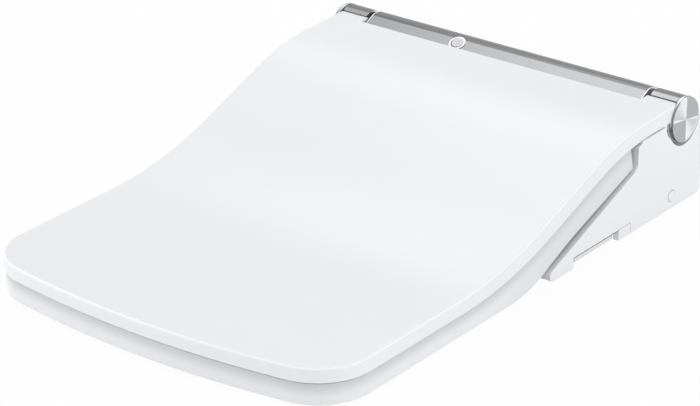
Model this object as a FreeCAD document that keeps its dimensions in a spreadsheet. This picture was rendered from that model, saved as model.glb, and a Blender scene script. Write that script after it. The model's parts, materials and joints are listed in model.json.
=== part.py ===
# Electronic bidet seat with a soft closing lid, fitted to a toilet bowl by a base plate.
# Millimetres. X runs across the seat, -Y points to the front and +Z is up.
# The origin is midway between the two bowl bolts, on the plane where the unit stands.
import FreeCAD, Part
import math
import os
import Sketcher

SIZES = {
    # hinge line
    "hinge_back": 35.0,
    "hinge_height": 83.2,
    "pin_radius": 6.0,
    "pin_clearance": 0.06,
    "seat_boss_radius": 16.0,
    "lid_boss_radius": 18.0,
    "sleeve_wall": 2.6,
    "sleeve_lip_reach": 8.2,
    "disc_radius": 21.5,
    "disc_depth": 4.4,
    "disc_gap": 0.3,
    "disc_chamfer": 0.9,
    "groove_width": 0.7,
    "groove_depth": 1.0,
    "collar_radius": 21.1,
    "collar_width": 3.0,
    "collar_drop": 7.2,
    "bay_radius": 24.5,
    "bay_tangent_angle": 37.0,
    # what follows what on the hinge line, from the housing's side inwards
    "disc_setback": 2.8,
    "lid_boss_width": 10.2,
    "boss_gap": 1.5,
    "seat_boss_width": 12.5,
    "sleeve_lead": 4.5,
    "bay_lead": 2.5,
    "strip_gap": 2.4,
    # plan outline of the lid
    "lid_inset": 1.4,
    "lid_reach": 520.2,
    "bow_angle": 8.45,
    "bow_radius": 900.0,
    "lid_corner_radius": 52.0,
    "lid_rear_gap": 20.0,
    # side outline of the lid
    "lid_front_height": 36.2,
    "lid_high_rise": 15.2,
    "lid_rear_angle": 1.5,
    "lid_low_knee": 275.5,
    "lid_high_knee": 102.8,
    "lid_low_bend": 369.0,
    "lid_high_bend": 240.0,
    "lip_gap": 1.1,
    "web_gap": 0.9,
    "lid_round": 3.0,
    "rim_front_drop": 12.8,
    "rim_low_knee": 266.9,
    "rim_high_knee": 95.7,
    "lid_plate": 4.0,
    "lid_skirt": 3.0,
    # seat
    "seat_inset": 1.7,
    "lid_gap": 1.6,
    "seat_floor": 3.0,
    "seat_low_lead": 25.5,
    "seat_mid_knee": 174.5,
    "seat_mid_gap": 5.5,
    "seat_low_bend": 120.0,
    "seat_mid_bend": 300.0,
    "seat_rear_gap": 3.5,
    "seat_rear_lift": 2.3,
    "seat_rear_lean": 13.0,
    "crown_clearance": 2.0,
    "crown_inset": 6.5,
    "crown_chamfer": 4.0,
    "seat_wall": 3.0,
    "seat_floor_wall": 3.0,
    "hole_half": 112.0,
    "hole_front": 440.0,
    "hole_rear": 165.0,
    "hole_front_radius": 104.0,
    "hole_rear_radius": 82.0,
    "heater_film": 1.0,
    "heater_inset": 14.0,
    "tongue_bottom": 3.8,
    "tongue_height": 5.4,
    "tongue_lap": 12.0,
    # bumpers
    "bumper_inset": 38.6,
    "bumper_width": 14.0,
    "bumper_length": 40.0,
    "seat_bumper_front": 425.0,
    "seat_bumper_rear": 300.0,
    "lid_bumper_front": 445.0,
    "lid_bumper_rear": 385.0,
    "rest_gap": 0.3,
    # housing
    "foot": 3.0,
    "unit_half": 190.0,
    "cover_width": 11.0,
    "joint_gap": 0.3,
    "case_wall": 2.5,
    "rear_depth": 29.4,
    "split_height": 20.0,
    "ramp_low_reach": 211.5,
    "ramp_low_height": 10.8,
    "toe_lean": 6.5,
    "toe_radius": 5.0,
    "toe_setback": 3.0,
    "riser_reach": 74.5,
    "riser_foot_drop": 21.7,
    "riser_top_drop": 0.6,
    "shelf_reach": 35.5,
    "shelf_rise": 2.4,
    "small_round": 3.0,
    "foot_round": 2.5,
    "riser_round": 11.0,
    "neck_reach": 21.0,
    "neck_rise": 4.8,
    "neck_setback": 0.9,
    # silver strip along the hinge line
    "strip_radius": 20.9,
    "strip_wall": 2.2,
    "strip_edge_reach": 3.2,
    "strip_tip_reach": 16.3,
    "strip_tip_drop": 6.0,
    "strip_skirt": 5.0,
    "lens_offset": 51.4,
    "lens_reach": 10.6,
    "lens_radius": 6.4,
    "bezel_radius": 8.0,
    "lens_stand": 0.7,
    "lens_depth": 3.0,
    # side of the housing
    "notch_front": 172.5,
    "notch_rear": 102.6,
    "notch_height": 10.3,
    "notch_depth": 6.6,
    "tab_rear": 84.0,
    "tab_thick": 5.8,
    "tab_clearance": 0.35,
    "tab_stem": 3.0,
    "tab_stem_length": 7.0,
    "button_reach": 18.0,
    "button_height": 15.1,
    "button_radius": 4.9,
    "button_depth": 7.0,
    "button_stand": 0.4,
    "spring_wire": 0.6,
    "spring_radius": 2.6,
    "tab_spring_length": 9.0,
    "button_spring_length": 7.0,
    # base plate and its channel
    "plate_half": 102.0,
    "plate_thick": 5.0,
    "plate_front": 45.0,
    "plate_rear": 40.0,
    "plate_round": 8.0,
    "slot_spacing": 140.0,
    "slot_length": 24.5,
    "bolt_hole_radius": 4.25,
    "channel_gap": 2.0,
    "channel_lead": 5.0,
    "channel_height": 17.0,
    "rail_inset": 8.5,
    "rail_wall": 3.5,
    "rail_lip": 4.0,
    "rail_lip_thick": 3.0,
    "rail_clearance": 0.4,
    "deck_wall": 2.5,
    # nozzle
    "wand_radius": 6.5,
    "wand_setback": 32.0,
    "wand_depth": 12.84,
    "wand_tip_length": 16.0,
    "wand_length": 104.0,
    "wand_bore": 3.5,
    "wand_clearance": 0.4,
    "port_clearance": 1.2,
    "port_lap": 4.0,
    "port_height": 10.0,
    "jet_radius": 0.8,
    "jet_pitch": 4.0,
    "carriage_width": 20.0,
    "carriage_height": 8.0,
    "carriage_length": 14.0,
    "cradle_half": 10.0,
    "cradle_floor": 2.5,
    "cradle_length": 84.0,
    "cradle_setback": 6.0,
    "cradle_foot": 6.0,
    "cradle_front_foot": 30.0,
    "cradle_rear_foot": 90.0,
    "motor_radius": 9.0,
    "motor_length": 20.0,
    # water side
    "tank_inner": 34.0,
    "tank_width": 66.0,
    "tank_depth": 64.0,
    "tank_height": 34.0,
    "tank_front": 42.0,
    "tank_round": 6.0,
    "board_thick": 1.6,
    "board_margin": 3.0,
    "chip_height": 4.0,
    "pump_radius": 16.0,
    "pump_length": 44.0,
    "pump_reach": 43.0,
    "supply_lead": 7.5,
    "supply_gap": 14.2,
    "supply_depth": 46.0,
    "supply_height": 30.0,
    "supply_front": 62.0,
    "valve_width": 34.0,
    "valve_depth": 26.0,
    "valve_height": 28.0,
    "inlet_back": 28.0,
    "inlet_height": 24.0,
    "inlet_radius": 10.48,
    "inlet_bore": 6.0,
    "inlet_length": 14.0,
    "inlet_flange": 3.0,
    "inlet_flange_radius": 14.0,
    "recess_width": 42.0,
    "recess_top": 44.0,
    "recess_depth": 20.0,
    "recess_wall": 2.5,
    "plug_height": 19.0,
    "plug_radius": 11.0,
    "plug_neck_radius": 8.0,
    "plug_neck_length": 16.0,
    "plug_head": 4.0,
    "plug_grip": 3.0,
    "gland_radius": 6.0,
    "gland_bore": 3.6,
    "gland_length": 9.0,
    "gland_inset": 40.0,
    "gland_height": 40.0,
    # air side
    "fan_middle": 66.0,
    "fan_reach": 30.0,
    "fan_radius": 30.0,
    "fan_height": 30.0,
    "fan_wall": 2.0,
    "rotor_radius": 24.0,
    "rotor_hub": 7.0,
    "rotor_bore": 2.0,
    "rotor_height": 20.0,
    "rotor_plate": 2.0,
    "blade_thick": 1.4,
    "blade_inner": 17.0,
    "duct_inner": 44.0,
    "duct_width": 26.0,
    "duct_wall": 1.6,
    "duct_top": 40.0,
    "filter_front": 66.0,
    "filter_depth": 30.0,
    "filter_width": 46.0,
    "filter_height": 24.0,
    # hinge carriers
    "block_width": 12.0,
    "block_radius": 15.0,
    "block_foot": 24.0,
    "block_foot_half": 13.0,
    "damper_radius": 12.0,
    "damper_length": 56.0,
    "damper_nose": 8.0,
    # fasteners
    "screw_radius": 1.9,
    "screw_head_radius": 3.6,
    "screw_head": 2.2,
    "screw_length": 12.0,
    "screw_clearance": 0.3,
    "post_radius": 5.5,
    "post_floor": 2.0,
    "post_split": 11.0,
    "post_inset": 26.2,
    "post_reach": 110.0,
    "post_setback": 13.0,
    "post_top": 48.0,
    "overrun": 10.0,
    "tall": 130.0,
}
BLADE_COUNT = 12
# how level and how steep a face's direction is, as shares of one
FLAT_SHARE = 0.01
STEEP_SHARE = 0.7
FORMULA_SHEET = "Sizes"

DOC = FreeCAD.newDocument("bidet_seat")
PIECES = {}


class Size:
    """A length, a share or an angle: its number, and the sheet formula that gives it."""

    def __init__(self, value, text):
        self.value = float(value)
        self.text = text

    def __add__(self, other):
        other = as_size(other)
        return Size(self.value + other.value, f"({self.text} + {other.text})")

    def __radd__(self, other):
        return as_size(other) + self

    def __sub__(self, other):
        other = as_size(other)
        return Size(self.value - other.value, f"({self.text} - {other.text})")

    def __rsub__(self, other):
        return as_size(other) - self

    def __mul__(self, other):
        other = as_size(other)
        return Size(self.value * other.value, f"({self.text} * {other.text})")

    def __rmul__(self, other):
        return as_size(other) * self

    def __truediv__(self, other):
        other = as_size(other)
        return Size(self.value / other.value, f"({self.text} / {other.text})")

    def __rtruediv__(self, other):
        return as_size(other) / self

    def __neg__(self):
        return Size(-self.value, f"(0 - {self.text})")


def as_size(number):
    """Wrap a plain number, and leave a Size as it is."""
    if isinstance(number, Size):
        return number
    return Size(number, repr(float(number)))


def sine(angle):
    return Size(math.sin(math.radians(angle.value)), f"sin({angle.text})")


def cosine(angle):
    return Size(math.cos(math.radians(angle.value)), f"cos({angle.text})")


def tangent(angle):
    return Size(math.tan(math.radians(angle.value)), f"tan({angle.text})")


def arc_tangent(slope):
    return Size(math.degrees(math.atan(slope.value)), f"atan({slope.text})")


class Sheet:
    """Gives each named size of the sheet as a Size."""

    def __getattr__(self, alias):
        return Size(SIZES[alias], f"{FORMULA_SHEET}.{alias}")


D = Sheet()


def write_sheet():
    """Put every size into the sheet, its name beside it."""
    sheet = DOC.addObject("Spreadsheet::Sheet", FORMULA_SHEET)
    for row, (alias, value) in enumerate(SIZES.items(), start=1):
        sheet.set(f"A{row}", alias)
        sheet.set(f"B{row}", str(value))
        sheet.setAlias(f"B{row}", alias)
    DOC.recompute()


def bind(thing, name, size):
    """Set a property and tie it to its formula."""
    thing.setExpression(name, as_size(size).text)


def corner(across, up, radius=None):
    """One corner of an outline, sharp or rounded."""
    return (as_size(across), as_size(up), radius)


class Ring:
    """A full circle in a sketch."""

    def __init__(self, across, up, radius):
        self.across = as_size(across)
        self.up = as_size(up)
        self.radius = as_size(radius)


class Slot:
    """A slot along the sketch's first axis: its middle, its end to end length and half its width."""

    def __init__(self, across, up, length, radius):
        self.across = as_size(across)
        self.up = as_size(up)
        self.length = as_size(length)
        self.radius = as_size(radius)


def hold(sketch, kind, *where, size=None):
    """Add one constraint, tied to its formula if it has a size."""
    if size is None:
        sketch.addConstraint(Sketcher.Constraint(kind, *where))
        return
    index = sketch.addConstraint(Sketcher.Constraint(kind, *where, size.value))
    sketch.setExpression(f"Constraints[{index}]", size.text)


def pin_point(sketch, geometry, point, across, up):
    """Hold a point at its place from the sketch's origin."""
    hold(sketch, "DistanceX", -1, 1, geometry, point, size=across)
    hold(sketch, "DistanceY", -1, 1, geometry, point, size=up)


def draw_ring(sketch, ring):
    centre = FreeCAD.Vector(ring.across.value, ring.up.value, 0)
    index = sketch.addGeometry(Part.Circle(centre, FreeCAD.Vector(0, 0, 1), ring.radius.value), False)
    pin_point(sketch, index, 3, ring.across, ring.up)
    hold(sketch, "Radius", index, size=ring.radius)


def draw_slot(sketch, slot):
    half = slot.length / 2 - slot.radius
    ends = []
    for sign in (1, -1):
        across = slot.across + sign * half
        centre = FreeCAD.Vector(across.value, slot.up.value, 0)
        circle = Part.Circle(centre, FreeCAD.Vector(0, 0, 1), slot.radius.value)
        start = -sign * math.pi / 2
        index = sketch.addGeometry(Part.ArcOfCircle(circle, start, start + math.pi), False)
        pin_point(sketch, index, 3, across, slot.up)
        ends.append(index)
    right, left = ends
    top = slot.up.value + slot.radius.value
    low = slot.up.value - slot.radius.value
    near = slot.across.value - half.value
    far = slot.across.value + half.value
    upper = sketch.addGeometry(Part.LineSegment(FreeCAD.Vector(far, top, 0), FreeCAD.Vector(near, top, 0)), False)
    lower = sketch.addGeometry(Part.LineSegment(FreeCAD.Vector(near, low, 0), FreeCAD.Vector(far, low, 0)), False)
    hold(sketch, "Tangent", right, 2, upper, 1)
    hold(sketch, "Tangent", upper, 2, left, 1)
    hold(sketch, "Tangent", left, 2, lower, 1)
    hold(sketch, "Tangent", lower, 2, right, 1)
    hold(sketch, "Radius", right, size=slot.radius)


def rounding(before, here, after, radius):
    """Where a round at a corner starts and ends, its centre, and whether it turns left."""
    into = (here - before).normalize()
    out = (after - here).normalize()
    turn = math.atan2(into.x * out.y - into.y * out.x, into.dot(out))
    reach = radius * math.tan(abs(turn) / 2)
    start = here - into * reach
    side = FreeCAD.Vector(-into.y, into.x, 0) * (1 if turn > 0 else -1)
    return start, here + out * reach, start + side * radius, turn > 0


def draw_outline(sketch, corners):
    """Draw a closed outline of straight runs, with an arc at each rounded corner."""
    count = len(corners)
    places = [FreeCAD.Vector(across.value, up.value, 0) for across, up, radius in corners]
    rounds = []
    for index, (across, up, radius) in enumerate(corners):
        if radius is None:
            rounds.append((places[index], places[index], None, False))
        else:
            after = places[(index + 1) % count]
            rounds.append(rounding(places[index - 1], places[index], after, radius.value))
    lines = []
    for index in range(count):
        start = rounds[index][1]
        end = rounds[(index + 1) % count][0]
        lines.append(sketch.addGeometry(Part.LineSegment(start, end), False))
    for index, (across, up, radius) in enumerate(corners):
        before = lines[index - 1]
        after = lines[index]
        if radius is None:
            hold(sketch, "Coincident", before, 2, after, 1)
            pin_point(sketch, after, 1, across, up)
            continue
        start, end, centre, left = rounds[index]
        first, last = (start, end) if left else (end, start)
        begin = math.atan2(first.y - centre.y, first.x - centre.x)
        stop = math.atan2(last.y - centre.y, last.x - centre.x)
        circle = Part.Circle(centre, FreeCAD.Vector(0, 0, 1), radius.value)
        arc = sketch.addGeometry(Part.ArcOfCircle(circle, begin, stop), False)
        point = sketch.addGeometry(Part.Point(places[index]), True)
        pin_point(sketch, point, 1, across, up)
        hold(sketch, "PointOnObject", point, 1, before)
        hold(sketch, "PointOnObject", point, 1, after)
        hold(sketch, "Tangent", before, 2, arc, 1 if left else 2)
        hold(sketch, "Tangent", arc, 2 if left else 1, after, 1)
        hold(sketch, "Radius", arc, size=radius)


class Piece:
    """A body whose sketches lie on its own origin planes."""

    def __init__(self, label):
        self.body = DOC.addObject("PartDesign::Body", label)
        self.body.Label = label

    def sketch(self, plane, level, outlines):
        """Draw outlines on a plane, moved to a level along the axis square to it."""
        sketch = self.body.newObject("Sketcher::SketchObject", f"{self.body.Label}_outline")
        role = f"{plane}_Plane"
        support = [each for each in self.body.Origin.OriginFeatures if each.Role == role][0]
        sketch.AttachmentSupport = (support, [""])
        sketch.MapMode = "FlatFace"
        level = as_size(level)
        if plane == "XZ":
            level = -level
        bind(sketch, "AttachmentOffset.Base.z", level)
        for outline in outlines:
            if isinstance(outline, Ring):
                draw_ring(sketch, outline)
            elif isinstance(outline, Slot):
                draw_slot(sketch, outline)
            else:
                draw_outline(sketch, outline)
        return sketch

    def pad(self, plane, low, high, *outlines):
        """Add material between two levels."""
        low, high = as_size(low), as_size(high)
        level = high if plane == "XZ" else low
        feature = self.body.newObject("PartDesign::Pad", f"{self.body.Label}_pad")
        feature.Profile = self.sketch(plane, level, outlines)
        bind(feature, "Length", high - low)
        return self

    def pocket(self, plane, low, high, *outlines):
        """Take material away between two levels."""
        low, high = as_size(low), as_size(high)
        level = low if plane == "XZ" else high
        feature = self.body.newObject("PartDesign::Pocket", f"{self.body.Label}_pocket")
        feature.Profile = self.sketch(plane, level, outlines)
        bind(feature, "Length", high - low)
        return self

    def revolve(self, plane, outline, groove=False):
        """Turn an outline about the sketch's first axis."""
        kind = "PartDesign::Groove" if groove else "PartDesign::Revolution"
        feature = self.body.newObject(kind, f"{self.body.Label}_turn")
        sketch = self.sketch(plane, 0, [outline])
        feature.Profile = sketch
        feature.ReferenceAxis = (sketch, ["H_Axis"])
        feature.Angle = 360
        return self


def prism(label, plane, low, high, *outlines):
    """A body with one pad."""
    return Piece(label).pad(plane, low, high, *outlines).body


def block(label, across, along, up):
    """A box between pairs of levels on the three axes."""
    box = DOC.addObject("Part::Box", label)
    spans = [(as_size(low), as_size(high)) for low, high in (across, along, up)]
    for name, place, (low, high) in zip(("Length", "Width", "Height"), "xyz", spans):
        bind(box, name, high - low)
        bind(box, f"Placement.Base.{place}", low)
    return box


TURNS = {
    "X": FreeCAD.Rotation(FreeCAD.Vector(0, 1, 0), 90),
    "Y": FreeCAD.Rotation(FreeCAD.Vector(1, 0, 0), -90),
    "Z": FreeCAD.Rotation(),
}


def rod(label, axis, start, centre, length, radius):
    """A cylinder along an axis: start is its level there, centre its place on the other two."""
    cylinder = DOC.addObject("Part::Cylinder", label)
    cylinder.Placement = FreeCAD.Placement(FreeCAD.Vector(), TURNS[axis])
    places = {axis: start}
    for name, place in zip([name for name in "XYZ" if name != axis], centre):
        places[name] = place
    for name, place in places.items():
        bind(cylinder, f"Placement.Base.{name.lower()}", as_size(place))
    bind(cylinder, "Height", as_size(length))
    bind(cylinder, "Radius", as_size(radius))
    return cylinder


def fuse(label, *shapes):
    """Join several objects."""
    joined = DOC.addObject("Part::MultiFuse", label)
    joined.Shapes = list(shapes)
    return joined


def common(label, *shapes):
    """Keep what several objects share."""
    shared = DOC.addObject("Part::MultiCommon", label)
    shared.Shapes = list(shapes)
    return shared


def cut(label, base, *tools):
    """Take one or more objects out of another."""
    tool = tools[0] if len(tools) == 1 else fuse(f"{label}_tools", *tools)
    result = DOC.addObject("Part::Cut", label)
    result.Base = base
    result.Tool = tool
    return result


def group(label, *shapes):
    """Several separate solids as one sub-part."""
    together = DOC.addObject("Part::Compound", label)
    together.Links = list(shapes)
    return together


def crest_edges(shape):
    """Numbers of the edges where an upright wall meets the top, but for the wall at the rear."""
    chosen = []
    for index, edge in enumerate(shape.Edges, start=1):
        middle = edge.valueAt((edge.FirstParameter + edge.LastParameter) / 2)
        faces = shape.ancestorsOfType(edge, Part.Face)
        normals = [face.normalAt(*face.Surface.parameter(middle)) for face in faces]
        walls = [normal for normal in normals if abs(normal.z) < FLAT_SHARE and normal.y < STEEP_SHARE]
        if walls and any(normal.z > STEEP_SHARE for normal in normals):
            chosen.append(index)
    return chosen


def eased(label, kind, base, size):
    """Take the sharpness off the edges along the top of an object, by a Fillet or a Chamfer of a size."""
    base.recompute(True)
    feature = DOC.addObject(f"Part::{kind}", label)
    feature.Base = base
    feature.Edges = [(index, size.value, size.value) for index in crest_edges(base.Shape)]
    return feature


def keep(node, thing):
    """Name a finished sub-part."""
    thing.Label = node
    PIECES[node] = thing


def span(side, inner, outer):
    """Levels across the seat from inner to outer, on the right (1) or on the left (-1)."""
    inner, outer = as_size(inner), as_size(outer)
    return (inner, outer) if side > 0 else (-outer, -inner)


def ahead(distance):
    """The Y place that lies a distance in front of the hinge line."""
    return D.hinge_back - distance


def above(distance):
    """The Z place that lies a distance above the hinge line."""
    return D.hinge_height + distance


SIDES = {"right": 1, "left": -1}

# Places that follow from the sizes. First across the unit, from the middle
LID_HALF = D.unit_half - D.lid_inset
SLEEVE_OUTER = D.unit_half - D.disc_setback
LID_BOSS_INNER = SLEEVE_OUTER - D.lid_boss_width
SEAT_BOSS_INNER = LID_BOSS_INNER - D.boss_gap - D.seat_boss_width
SLEEVE_INNER = SEAT_BOSS_INNER - D.sleeve_lead
BAY_INNER = SLEEVE_INNER - D.bay_lead
STRIP_HALF = BAY_INNER - D.strip_gap
BUMPER_SPREAD = LID_HALF - D.bumper_inset
CASE_HALF = D.unit_half - D.cover_width - D.joint_gap
CASE_INNER = CASE_HALF - D.case_wall
POST_SIDE = CASE_INNER - D.post_inset
CHANNEL_HALF = D.plate_half + D.channel_gap
DECK_HALF = CHANNEL_HALF + D.deck_wall
RAIL_INNER = D.plate_half - D.rail_inset
# then how far in front of the hinge line
LID_REAR = D.sleeve_lip_reach + D.lip_gap
SEAT_REAR = D.riser_reach + D.seat_rear_gap
TOE_REACH = D.ramp_low_reach - D.toe_lean
WAND_REACH = TOE_REACH - D.wand_setback
CHANNEL_FRONT = D.plate_front + D.channel_lead
# and slopes and heights
SHELF_HEIGHT = above(D.shelf_rise)
RAMP_SLOPE = (above(-D.riser_foot_drop) - D.ramp_low_height) / (D.ramp_low_reach - D.riser_reach)
LID_SLOPE = (above(D.lid_high_rise) - D.lid_front_height) / (D.lid_low_knee - D.lid_high_knee)
RAMP_ANGLE = arc_tangent(RAMP_SLOPE)
STRIP_FALL = D.strip_tip_drop / (D.strip_tip_reach - D.strip_edge_reach)
CASE_FLOOR = D.foot + D.case_wall
DECK_TOP = D.channel_height + D.deck_wall


def ramp_height(distance):
    """Height of the housing's ramp at a distance in front of the hinge line."""
    return D.ramp_low_height + RAMP_SLOPE * (D.ramp_low_reach - distance)


SEAT_MID_HEIGHT = ramp_height(D.seat_mid_knee) + D.seat_mid_gap
SEAT_REAR_HEIGHT = ramp_height(SEAT_REAR) + D.seat_rear_lift
WAND_HEIGHT = ramp_height(WAND_REACH) - D.wand_depth


# The lid's outline and surfaces
def lid_outline(inset, rear):
    """Plan outline of the lid, drawn in by an inset, from the rear level to the bowed front."""
    half = LID_HALF - inset
    bow = D.bow_radius - inset
    tip = ahead(D.lid_reach) + inset - bow * (1 / cosine(D.bow_angle) - 1)
    shoulder = tip + half * tangent(D.bow_angle)
    radius = D.lid_corner_radius - inset
    return [
        corner(-half, rear),
        corner(-half, shoulder, radius),
        corner(0, tip, bow),
        corner(half, shoulder, radius),
        corner(half, rear),
    ]


def lid_top_line(drop, end):
    """The lid's top from front to rear in side view, lowered by a drop."""
    front = D.lid_front_height
    high = front + LID_SLOPE * (D.lid_low_knee - D.lid_high_knee)
    rear = high + tangent(D.lid_rear_angle) * (D.lid_high_knee - end)
    return [
        corner(ahead(D.lid_reach + D.overrun), front - drop),
        corner(ahead(D.lid_low_knee), front - drop, D.lid_low_bend),
        corner(ahead(D.lid_high_knee), high - drop, D.lid_high_bend),
        corner(ahead(end), rear - drop),
    ]


def rim_line(drop, end):
    """The lid's lower edge from front to rear in side view, lowered by a drop."""
    front = D.lid_front_height - D.rim_front_drop
    high = front + LID_SLOPE * (D.rim_low_knee - D.rim_high_knee)
    rear = high + tangent(D.lid_rear_angle) * (D.rim_high_knee - end)
    return [
        corner(ahead(D.lid_reach + D.overrun), front - drop),
        corner(ahead(D.rim_low_knee), front - drop, D.lid_low_bend),
        corner(ahead(D.rim_high_knee), high - drop, D.lid_high_bend),
        corner(ahead(end), rear - drop),
    ]


def seat_floor_line(lift):
    """The seat's underside from front to rear in side view, raised by a lift."""
    slope = (SEAT_REAR_HEIGHT - SEAT_MID_HEIGHT) / (D.seat_mid_knee - SEAT_REAR)
    low_knee = D.ramp_low_reach + D.seat_low_lead
    end = SEAT_REAR - D.overrun
    return [
        corner(ahead(D.lid_reach + D.overrun), D.seat_floor + lift),
        corner(ahead(low_knee), D.seat_floor + lift, D.seat_low_bend),
        corner(ahead(D.seat_mid_knee), SEAT_MID_HEIGHT + lift, D.seat_mid_bend),
        corner(ahead(end), SEAT_REAR_HEIGHT + slope * D.overrun + lift),
    ]


def between(upper, lower):
    """A closed side outline between two lines that both run from front to rear."""
    return list(reversed(upper)) + lower


def hole_outline(growth):
    """Plan outline of the hole in the seat, widened by a growth."""
    half = D.hole_half + growth
    front = ahead(D.hole_front + growth)
    rear = ahead(D.hole_rear - growth)
    near = D.hole_front_radius + growth
    far = D.hole_rear_radius + growth
    return [
        corner(-half, rear, far),
        corner(-half, front, near),
        corner(half, front, near),
        corner(half, rear, far),
    ]


def make_lid():
    """The lid: plate with a rounded crest, skirt, hinge arms and bosses."""
    reach = LID_HALF + D.overrun
    plan = prism("lid_plan", "XY", 0, D.tall, lid_outline(0, ahead(LID_REAR)))
    end = LID_REAR - D.overrun
    body = prism("lid_side", "YZ", -reach, reach, between(lid_top_line(0, end), rim_line(0, end)))
    hollow_plan = prism("lid_hollow_plan", "XY", 0, D.tall, lid_outline(D.lid_skirt, ahead(end)))
    floor = [corner(ahead(D.lid_reach + D.overrun), 0), corner(ahead(end), 0)]
    hollow_side = prism("lid_hollow_side", "YZ", -reach, reach, between(lid_top_line(D.lid_plate, end), floor))
    outer = eased("lid_outer", "Fillet", common("lid_sharp", plan, body), D.lid_round)
    hollow = common("lid_hollow", hollow_plan, hollow_side)
    shell = cut("lid_plate_and_skirt", outer, hollow)
    tools = [block("lid_notch", (-BAY_INNER, BAY_INNER), (ahead(D.lid_rear_gap), ahead(-D.overrun)), (0, D.tall))]
    webs = []
    bores = []
    axis = (D.hinge_back, D.hinge_height)
    for name, side in SIDES.items():
        low, high = span(side, SLEEVE_OUTER, reach)
        tools.append(rod(f"disc_room_{name}", "X", low, axis, high - low, D.disc_radius + D.disc_gap))
        low, high = span(side, LID_BOSS_INNER, SLEEVE_OUTER)
        webs.append(rod(f"lid_boss_{name}", "X", low, axis, high - low, D.lid_boss_radius))
        webs.append(lid_collar(name, side))
        bores.append(rod(f"lid_bore_{name}", "X", low - D.overrun, axis, high - low + 2 * D.overrun,
                         D.pin_radius + D.pin_clearance))
        webs.append(lid_web(name, low, high))
    trimmed = cut("lid_trimmed", shell, *tools)
    joined = fuse("lid_joined", trimmed, *webs)
    keep("lid_shell", cut("lid_bored", joined, *bores))


def lid_web(name, low, high):
    """The web that carries the lid from its boss, under the sleeve's lip."""
    front = ahead(2 * D.disc_radius)
    crest = D.lid_boss_radius - D.lid_plate / 2
    web = [
        corner(ahead(D.shelf_reach), above(D.shelf_rise + D.web_gap)),
        corner(front, above(D.tongue_bottom + 2 * D.web_gap)),
        corner(front, above(D.strip_skirt + 2 * D.lid_plate)),
        corner(ahead(LID_REAR), above(crest)),
        corner(ahead(D.pin_radius), above(crest - D.web_gap)),
        corner(ahead(0), above(D.pin_radius + D.lid_plate)),
        corner(ahead(D.lid_boss_radius - D.lid_plate), above(-D.lid_boss_radius / 2)),
        corner(ahead(D.lid_boss_radius), above(-D.pin_radius)),
    ]
    return prism(f"lid_web_{name}", "YZ", low, high, web)


def lid_collar(name, side):
    """The collar behind the end disc, where it shows below the lid."""
    low, high = span(side, SLEEVE_OUTER - D.collar_width, SLEEVE_OUTER)
    ring = rod(f"collar_ring_{name}", "X", low, (D.hinge_back, D.hinge_height), high - low, D.collar_radius)
    half = D.collar_radius + D.overrun
    below = block(f"collar_room_{name}", (low, high), (ahead(half), ahead(-half)), (above(-half), above(-D.collar_drop)))
    return common(f"lid_collar_{name}", ring, below)


def pad_set(label, spread, places, low, high):
    """Rounded pads on both sides, at each place in front of the hinge line."""
    pads = []
    half = D.bumper_width / 2
    for index, distance in enumerate(places):
        for name, side in SIDES.items():
            middle = side * spread
            front = ahead(distance)
            rear = ahead(distance - D.bumper_length)
            outline = [
                corner(middle - half, front, half - D.joint_gap),
                corner(middle + half, front, half - D.joint_gap),
                corner(middle + half, rear, half - D.joint_gap),
                corner(middle - half, rear, half - D.joint_gap),
            ]
            pads.append(prism(f"{label}_{name}_{index}", "XY", low, high, outline))
    return pads


def sleeve_outline():
    """Section of a sleeve: the strip's own section, with a short face and a longer back."""
    outer = D.strip_radius
    inner = outer - D.sleeve_wall
    drop = STRIP_FALL * (D.sleeve_lip_reach - D.strip_edge_reach)
    return [
        corner(ahead(-outer), above(-D.collar_drop)),
        corner(ahead(-outer), above(outer), outer),
        corner(ahead(D.strip_edge_reach), above(outer)),
        corner(ahead(D.sleeve_lip_reach), above(outer - drop)),
        corner(ahead(D.sleeve_lip_reach), above(inner - drop)),
        corner(ahead(D.strip_edge_reach), above(inner)),
        corner(ahead(-inner), above(inner), inner),
        corner(ahead(-inner), above(-D.collar_drop)),
    ]


def make_lid_trim():
    """What rides with the lid besides its shell: sleeves, end discs and bumpers."""
    for name, side in SIDES.items():
        low, high = span(side, SLEEVE_INNER, SLEEVE_OUTER)
        keep(f"hinge_sleeve_{name}", prism(f"sleeve_{name}", "YZ", low, high, sleeve_outline()))

        disc = Piece(f"end_disc_body_{name}")
        start = side * SLEEVE_OUTER
        end = side * (SLEEVE_OUTER + D.disc_depth)
        groove = side * D.groove_width
        radius = D.disc_radius
        neck = radius - D.groove_depth
        profile = [
            corner(start, 0),
            corner(start, neck),
            corner(start + groove, neck),
            corner(start + groove, radius),
            corner(end - side * D.disc_chamfer, radius),
            corner(end, radius - D.disc_chamfer),
            corner(end, 0),
        ]
        disc.revolve("XZ", profile)
        bind(disc.body, "Placement.Base.y", D.hinge_back)
        bind(disc.body, "Placement.Base.z", D.hinge_height)
        keep(f"end_disc_{name}", disc.body)
    low = D.lid_front_height - D.lid_plate - D.crown_clearance + D.rest_gap
    high = D.lid_front_height - D.lid_plate
    pads = pad_set("lid_pad", BUMPER_SPREAD, (D.lid_bumper_front, D.lid_bumper_rear), low, high)
    keep("lid_bumpers", group("lid_bumper_set", *pads))


def seat_layer(label, inset, growth, top, bottom):
    """One layer of the seat ring between two side lines."""
    plan = prism(f"{label}_plan", "XY", 0, D.tall, lid_outline(inset, ahead(0)), hole_outline(growth))
    reach = LID_HALF + D.overrun
    side = prism(f"{label}_side", "YZ", -reach, reach, between(top, bottom))
    return common(label, plan, side)


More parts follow.
